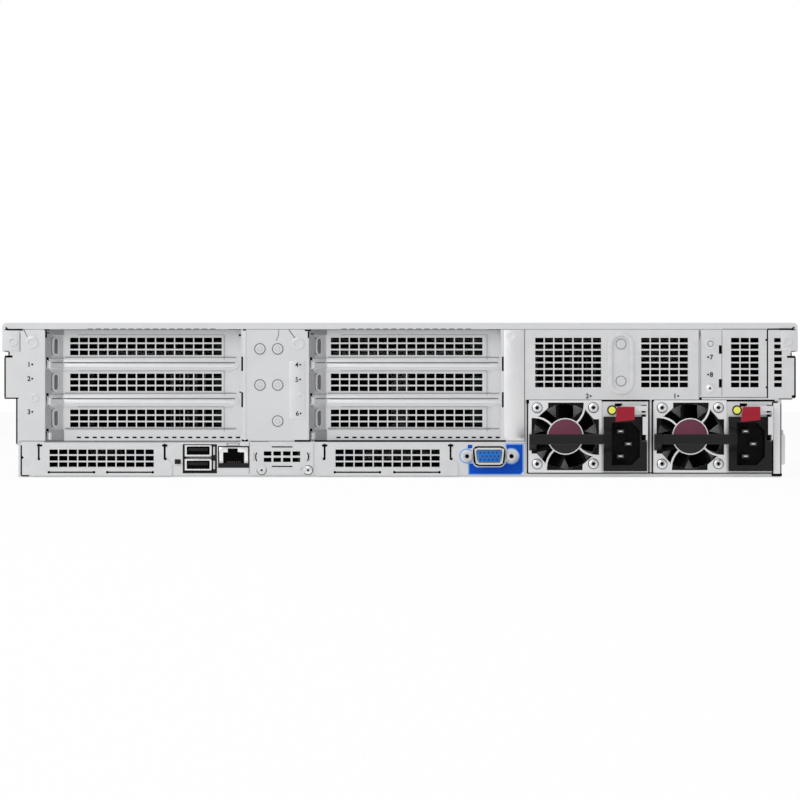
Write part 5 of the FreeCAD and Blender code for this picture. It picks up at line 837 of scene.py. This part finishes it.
contact_gold = sheet_metal("contact_gold", (0.12, 0.10, 0.06), (0.08, 0.06, 0.035), (1, 0.1, 1))
for contact in range(8):
    x = socket_x + spring_pitch * (contact - 3.5)
    flat(f"network_contact_{contact + 1}", contact_gold, [box_of(x - 0.2, x + 0.2, 7.9, 9.0)],
         REAR + 0.55, 0.3, 0.08)
for number, z in enumerate((14.95, 6.95), start=1):
    flat(f"socket_rim_{number}", socket_rim,
         [box_of(-121.2, -106.1, z - 3.0, z + 3.0, 0.5),
          box_of(-120.1, -107.2, z - 2.3, z + 2.4, 0.3)], REAR - 0.35, 0.6, 0.12)
    flat(f"socket_well_{number}", painted_shade_black, [box_of(-120.1, -107.2, z - 2.3, z + 2.4, 0.3)],
         REAR + 0.5, 0.3)
    flat(f"socket_tongue_{number}", inlet_black, [box_of(-119.2, -108.2, z - 0.2, z + 1.5, 0.3)],
         REAR + 0.3, 0.3, 0.12)
flat("socket_surround", inlet_black,
     [box_of(-122.4, -103.1, 2.2, 18.6), box_of(-121.6, -105.7, 3.2, 18.1)], REAR - 0.1, 0.4)
flat("locator_cap", inlet_black, [box_of(-126.8, -123.6, 7.5, 9.9, 0.3)], REAR - 1.5, 0.3, 0.1,
     "locator_button")
for number, z in enumerate((14.9, 6.9), start=1):
    flat(f"spring_leaf_{number}", port_metal, [box_of(-105.2, -104.2, z - 2.4, z + 2.4, 0.45)],
         REAR - 0.3, 0.3, 0.12)


# Punched rims: every vent hole is stamped through the steel sheet, and a fine black frame
# of painted shade round each hole stands for the shade at its stamped edge.

rim_shade_black = moulded("rim_shade_black", (0.004, 0.004, 0.004), 0.8, shine=0.1)
hole_pitch = (5.4, 3.6)


def rims(centre, middle, columns, rows, face, name):
    """Thin black frames of painted shade round one block of vent holes."""
    loops = []
    for column in range(columns):
        for row in range(rows):
            x = centre + hole_pitch[0] * (column - (columns - 1) / 2)
            z = middle + hole_pitch[1] * (row - (rows - 1) / 2)
            loops.append(centred(x, z, 2.34, 1.34))
            loops.append(centred(x, z, 2.1, 1.15))
    flat(name, rim_shade_black, loops, face, 0.08)


blank_face = REAR + 10.94
for slot, z in enumerate(slot_z, start=1):
    rims(-143.65, z, 16, 3, blank_face, f"slot_rims_{slot}")
    rims(3.75, z, 16, 3, blank_face, f"slot_rims_{slot + 3}")
upper_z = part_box("rear_fasteners")[1].z / MM - 13.0
for block, (x, columns) in {"a": (94.7, 7), "b": (149.0, 5), "c": (194.2, 3)}.items():
    rims(x, upper_z, columns, 8, REAR - 0.06, f"upper_rims_{block}")
for number, x in enumerate((-168.0, -7.0), start=1):
    rims(x, 10.7, 11, 3, lower_face - 0.06, f"lower_rims_{number}")


# Drive carriers: black moulded bezels with rows of small air holes beside the lever, a
# grey release button and a green lamp window; the levers have gripping ribs.

ear_lip = 6.0
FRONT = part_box("rack_ear_left")[1].y / MM - ear_lip
bezel_black = moulded("bezel_black", (0.02, 0.02, 0.021), 0.5)


def lamp_lens(name, dark, pale, glow, strength):
    """A tinted lens lit from behind."""
    lens = Finish(name)
    return lens.set(Base_Color=lens.noise(700.0).mixed(dark, pale), Roughness=0.25,
                    Emission_Color=(*glow, 1), Emission_Strength=strength)


lamp_green = lamp_lens("lamp_green", (0.02, 0.35, 0.06), (0.05, 0.55, 0.10), (0.1, 0.9, 0.2), 0.3)
lamp_blue = lamp_lens("lamp_blue", (0.02, 0.10, 0.45), (0.04, 0.18, 0.70), (0.1, 0.3, 0.9), 0.2)
for number in range(1, 5):
    low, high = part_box(f"drive_{number}")
    x = (low.x + high.x) / 2 / MM
    body = f"drive_{number}"
    lever = f"drive_lever_{number}"
    flat(f"carrier_face_{number}", bezel_black,
         [box_of(x - 7.5, x + 7.5, 4.2, 81.8, 0.8), box_of(x - 4.85, x + 4.85, 12.3, 73.1, 0.3)],
         FRONT - 0.35, 0.9, 0.3, body)
    holes = []
    for row in range(19):
        z = 14.5 + 3.1 * row
        holes += [ring_of(x - 6.2, z, 0.75, 6), ring_of(x + 6.2, z, 0.75, 6)]
    flat(f"carrier_holes_{number}", painted_shade_black, holes, FRONT + 0.5, 0.1, body=body)
    flat(f"carrier_lamp_{number}", lamp_green, [box_of(x - 2.6, x + 2.6, 76.4, 78.2, 0.8)],
         FRONT + 0.4, 0.4, 0.15, body)
    flat(f"carrier_lamp_collar_{number}", drive_metal, frame_of(x, 3.3, 75.7, 78.9, 1.2, 0.6, 0.8),
         FRONT + 0.4, 0.3, 0.1, body)
    flat(f"release_button_{number}", button_grey, [box_of(x - 3.4, x + 3.4, 15.4, 20.4, 1.0)],
         FRONT - 0.2, 1.2, 0.5, lever)
    for rib in range(4):
        z = 59.4 + 2.2 * rib
        flat(f"lever_rib_{number}_{rib + 1}", bezel_black, [centred(x, z, 3.6, 0.45, 0.4, 4)],
             FRONT - 1.6, 0.9, 0.3, lever)
    flat(f"lever_frame_{number}", drive_metal, frame_of(x, 3.6, 23.5, 54.0, 1.2, 0.7, 0.8),
         FRONT - 0.1, 0.3, 0.1, lever)


# Fillers: the wide ones have a moulded frame and two finger pulls, the narrow ones a
# ribbed pull under the top lip.

for number, x in enumerate((0.0, 135.2), start=1):
    flat(f"filler_frame_{number}", front_black, frame_of(x, 64.5, 4.5, 82.5, 2.5, 2.2, 1.5),
         FRONT - 0.3, 1.0, 0.45)
    for reach, place in ((-33.0, "left"), (33.0, "right")):
        flat(f"filler_pull_{number}_{place}", bezel_black,
             [box_of(x + reach - 13.0, x + reach + 13.0, 73.6, 78.6, 1.5),
              box_of(x + reach - 11.8, x + reach + 11.8, 74.6, 77.6, 1.0)], FRONT - 0.2, 1.0, 0.4)
for number in range(1, 5):
    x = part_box("drive_4")[1].x / MM - 7.6 + 16.4 * number
    for rib in range(3):
        z = 71.0 + 2.4 * rib
        flat(f"filler_rib_{number}_{rib + 1}", bezel_black, [centred(x, z, 5.5, 0.5, 0.4, 4)],
             FRONT - 3.1, 1.0, 0.3)


# Rack ears: small lamps beside the power button, a service socket with a plated rim on
# the other ear, and ribbed grips on the two latches.

ear_x = -213.6
latch_x = 232.6
ear_lamps = ((49.0, lamp_green), (43.0, lamp_green), (37.0, lamp_blue))
for number, (z, finish) in enumerate(ear_lamps, start=1):
    flat(f"ear_lamp_{number}", finish, [ring_of(ear_x, z, 1.2, 24)], FRONT - 0.1, 0.5, 0.2)
    flat(f"ear_lamp_collar_{number}", button_grey, washer(ear_x, z, 1.9, 1.25, 24), FRONT - 0.1,
         0.4, 0.12)
flat("power_button_rim", button_grey, washer(ear_x, 62.0, 5.9, 4.75, 40), FRONT - 0.2, 0.9, 0.35)
flat("service_socket_rim", socket_rim, frame_of(-ear_x, 3.0, 33.0, 47.2, 0.6, 0.9, 0.3),
     FRONT - 0.2, 0.8, 0.25)
flat("service_socket_well", painted_shade_black, [box_of(211.5, 215.7, 33.9, 46.3, 0.3)], FRONT - 0.1, 0.15)
# The tongue takes the blue lamp finish, so it glows a little: painted light.
flat("service_socket_tongue", lamp_blue, [box_of(212.2, 213.9, 34.8, 45.4, 0.3)], FRONT + 0.05,
     0.3, 0.1)
for side, turn in (("left", -1), ("right", 1)):
    for rib in range(9):
        z = 27.5 + 4.0 * rib
        flat(f"latch_rib_{side}_{rib + 1}", latch_paint,
             [centred(turn * latch_x, z, 4.6, 0.8, 0.75, 4)], FRONT + 5.3, 0.7, 0.45,
             f"ear_latch_{side}")


# Side walls: a long rolled bead stiffens each wall, with flush rivets along the top
# where the drive cage and the front tray join.

def turned(angles, name, finish, loops, face, thickness, bevel=0.0, body="chassis"):
    """A flat piece cut to face the rear, then turned about the origin to face another way."""
    piece = plate(loops, face, thickness, bevel)
    piece.rotation_euler = [math.radians(angle) for angle in angles]
    settle(piece, name, body, finish)


wall_face = -215.6
upper_face = -222.9
rivet_z = 54.5
rivet_pitch = 64.0
for side, sense in (("left", -1), ("right", 1)):
    facing = (0, 0, 90 * sense)
    for number, (start, end) in enumerate(((-330.0, -60.0), (-20.0, 200.0)), start=1):
        low_y, high_y = sorted((sense * start, sense * end))
        turned(facing, f"wall_bead_{side}_{number}", zinc_sheet,
               [box_of(low_y, high_y, 30.0, 37.0, 3.45, 8)], wall_face, 0.8, 0.6)
    loops = []
    for rivet in range(9):
        y = sense * (-315.0 + rivet_pitch * rivet)
        loops += washer(y, rivet_z, 2.6, 2.2, 28)
        turned(facing, f"wall_rivet_{side}_{rivet + 1}", rivet_metal,
               [ring_of(y, rivet_z, 2.1, 28)], upper_face, 0.5, 0.35)
    turned(facing, f"wall_rivet_lines_{side}", painted_shade_grey, loops, upper_face + 0.24, 0.1)


# Cover latch: a painted steel lever let into the cover. It has a lock screw in a round
# seat, a rolled rim and a ribbed thumb pad moulded on near its free end.

def lying(name, finish, loops, top, thickness, bevel=0.0, body="chassis"):
    """A flat part that lies level, with its upper face at the height given."""
    turned((-90, 0, 0), name, finish, loops, -top, thickness, bevel, body)


lock_y = 40.0
latch_top = 86.7
lying("lock_seat", button_grey, washer(0, lock_y, 5.6, 4.3, 40), latch_top, 0.5, 0.2, "latch")
lying("lock_screw", guard_steel, [ring_of(0, lock_y, 4.1, 40), lobed(0, lock_y, 1.9, 0.35, 48)],
      latch_top + 0.05, 0.5, 0.2, "latch")
for rib in range(5):
    y = 78.0 + 3.2 * rib
    lying(f"latch_grip_{rib + 1}", button_grey, [box_of(-9.0, 9.0, y - 0.7, y + 0.7, 0.6, 4)],
          latch_top + 0.1, 0.5, 0.3, "latch")
lying("latch_rim", latch_paint, frame_of(0, 18.5, 18.5, 111.0, 3.0, 1.2, 2.4), latch_top, 0.4,
      0.15, "latch")


# Front tray top: folded from the same sheet as the tray and held to the drive cage by four
# countersunk screws, flush with the sheet.

screw_y = 203.0
flush_top = 87.02
for number, x in enumerate((-185.0, -110.0, 110.0, 185.0), start=1):
    lying(f"tray_screw_seat_{number}", painted_shade_grey, washer(x, screw_y, 3.6, 3.1, 32), flush_top, 0.1)
    lying(f"tray_screw_{number}", rivet_metal,
          [ring_of(x, screw_y, 3.0, 32), ring_of(x, screw_y, 1.1, 6)], flush_top, 0.3, 0.15)


# Inside the machine: chips, coils, capacitors and plug blocks soldered to the board, and
# moulded lids with red grips on the fans. They show when the cover is off.

part_black = moulded("part_black", (0.015, 0.015, 0.016), 0.45)
part_white = moulded("part_white", (0.62, 0.61, 0.57), 0.5)
part_blue = moulded("part_blue", (0.02, 0.10, 0.36), 0.5)
grip_red = moulded("grip_red", (0.30, 0.015, 0.02), 0.5)
board_top = 5.0
chips = [(-150.0, -60.0, 17.0, 17.0, 3.0), (-95.0, -75.0, 12.0, 12.0, 2.4),
         (20.0, -95.0, 20.0, 20.0, 3.4), (60.0, -60.0, 14.0, 9.0, 2.0),
         (-20.0, -70.0, 9.0, 9.0, 1.8), (120.0, -60.0, 15.0, 15.0, 3.0),
         (180.0, -80.0, 10.0, 14.0, 2.2), (-185.0, -110.0, 11.0, 11.0, 2.2)]
for number, (x, y, width, depth, height) in enumerate(chips, start=1):
    lying(f"board_chip_{number}", part_black, [centred(x, y, width / 2, depth / 2, 0.4, 2)],
          board_top + height, height, 0.3)
can_height = 9.0
cans = [first + 9.5 * k for first in (-170.0, 75.0) for k in range(8)]
for number, x in enumerate(cans, start=1):
    lying(f"capacitor_{number}", drive_metal, [ring_of(x, -38.0, 3.6, 20)], board_top + can_height,
          can_height, 0.6)
coil_height = 6.0
for number in range(9):
    x = -60.0 + 13.0 * number
    lying(f"coil_{number + 1}", sink_metal, [box_of(x - 5.0, x + 5.0, -49.0, -39.0, 1.4, 3)],
          board_top + coil_height, coil_height, 0.8)
plugs = [(88.0, -120.0, 13.0, 4.5, 12.0, part_white), (128.0, -120.0, 13.0, 4.5, 12.0, part_white),
         (168.0, -120.0, 13.0, 4.5, 12.0, part_black), (-150.0, -105.0, 17.0, 4.0, 9.0, part_blue),
         (-100.0, -105.0, 17.0, 4.0, 9.0, part_black), (-40.0, -110.0, 15.0, 4.0, 9.0, part_blue)]
plug_wall = 1.5
for number, (x, y, half, deep, height, finish) in enumerate(plugs, start=1):
    lying(f"plug_block_{number}", finish,
          frame_of(x, half, y - deep, y + deep, 0.8, plug_wall, 0.4), board_top + height, height,
          0.4)
    lying(f"plug_tongue_{number}", part_black,
          [box_of(x - half + 2.5, x + half - 2.5, y - 0.8, y + 0.8, 0.3)],
          board_top + height - 1.0, height - 1.5, 0.2)
fan_pitch = 69.0
grip_top = 75.0
lid_top = 71.2
for number in range(6):
    x = fan_pitch * (number - 2.5)
    lying(f"fan_grip_{number + 1}", grip_red,
          [box_of(x - 14.0, x + 14.0, 127.0, 139.0, 2.5),
           box_of(x - 10.5, x + 10.5, 130.0, 136.0, 1.5)], grip_top, 5.5, 0.8)
    lying(f"fan_lid_{number + 1}", part_black, frame_of(x, 27.5, 116.0, 150.5, 2.0, 2.0, 1.5),
          lid_top, 1.6, 0.4)


# Black sheets that shut out stray light so the inside shows dark, standing for the shade in
# the machine: a film behind the air slots of the wide fillers, and a strip along the top of
# the drive backplane.

for number, x in enumerate((0.0, 135.2), start=1):
    flat(f"filler_screen_{number}", baffle_black, [box_of(x - 62.0, x + 62.0, 8.0, 79.0, 1.0)],
         FRONT - 4.2, 0.6, 0.15)
backplane_rear = 219.4
flat("backplane_shade_strip", baffle_black, [box_of(-206.0, -66.0, 81.4, 85.5, 0.3)], backplane_rear,
     1.2, 0.3)


# Floor and lights: a plain pale studio floor, a large soft lamp above the left of the
# camera and an even pale world.

floor_size = 30.0
floor_gap = 0.0002
pick()
bpy.ops.mesh.primitive_plane_add(size=floor_size, location=(0, 0, -floor_gap))
floor = bpy.context.object
floor.name = "studio_floor"
bpy.ops.object.transform_apply()
floor_finish = bpy.data.materials.new("floor_finish")
floor_finish.use_nodes = True


def rays_of(tree, *kinds):
    """A mask that is 1 for rays of the kinds named."""
    path = Shade(tree).node("LightPath").socket.node
    seen, *others = (Shade(tree, path.outputs[f"Is {kind} Ray"]) for kind in kinds)
    for other in others:
        seen = seen.maths("MAXIMUM", seen, other)
    return seen


def give_out(tree, blend, kind):
    """Link a blend of shaders to the output of its tree."""
    surface = next(n for n in tree.nodes if n.type == kind)
    tree.links.new(blend.socket, surface.inputs["Surface"])


ground = Shade(floor_finish.node_tree)
seen = rays_of(ground.tree, "Camera", "Glossy", "Transmission")
pale = ground.node("BsdfDiffuse", sockets={"Color": (0.85, 0.85, 0.85, 1)})
white = ground.node("Emission", sockets={"Color": (1, 1, 1, 1)})
blend = ground.node("MixShader", sockets={0: seen * 0.92, 1: pale, 2: white})
give_out(ground.tree, blend, "OUTPUT_MATERIAL")
floor.data.materials.append(floor_finish)
floor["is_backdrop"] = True

world = bpy.data.worlds.new("studio_world")
bpy.context.scene.world = world
world.use_nodes = True
sky = Shade(world.node_tree)
seen = rays_of(sky.tree, "Camera", "Transmission")
dim = sky.node("Background", sockets={"Color": (0.62, 0.62, 0.63, 1)})
bright = sky.node("Background", sockets={"Color": (1, 1, 1, 1)})
blend = sky.node("MixShader", sockets={0: seen, 1: dim, 2: bright})
give_out(sky.tree, blend, "OUTPUT_WORLD")


def soft_lamp(name, place, target, size, power):
    """A square soft box that faces a point."""
    lamp = bpy.data.lights.new(name, "AREA")
    lamp.shape = "SQUARE"
    lamp.size = size
    lamp.energy = power
    holder = bpy.data.objects.new(name, lamp)
    holder.location = place
    holder.rotation_euler = (Vector(target) - Vector(place)).to_track_quat("-Z", "Y").to_euler()
    bpy.context.scene.collection.objects.link(holder)


soft_lamp("key_lamp", (-1.8, -2.6, 2.0), (0, -0.3, 0.04), 2.8, 62.0)
soft_lamp("top_lamp", (0.4, 0.2, 2.6), (0, 0, 0.04), 2.2, 9.0)


# Camera: level with the middle of the machine and straight behind it, with a long lens
# that spans the width of the picture at the rear wall.

image_span = 0.4506
distance = 2.8
sensor = 36.0
middle_height = 0.0435
camera_data = bpy.data.cameras.new("camera")
camera_data.sensor_width = sensor
camera_data.lens = sensor * distance / image_span
camera_data.clip_end = 100.0
camera = bpy.data.objects.new("camera", camera_data)
camera.location = (0.0, REAR * MM - distance, middle_height)
camera.rotation_euler = (math.radians(90), 0, 0)
bpy.context.scene.collection.objects.link(camera)
bpy.context.scene.camera = camera

bpy.context.scene.view_settings.view_transform = "Standard"

low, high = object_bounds()
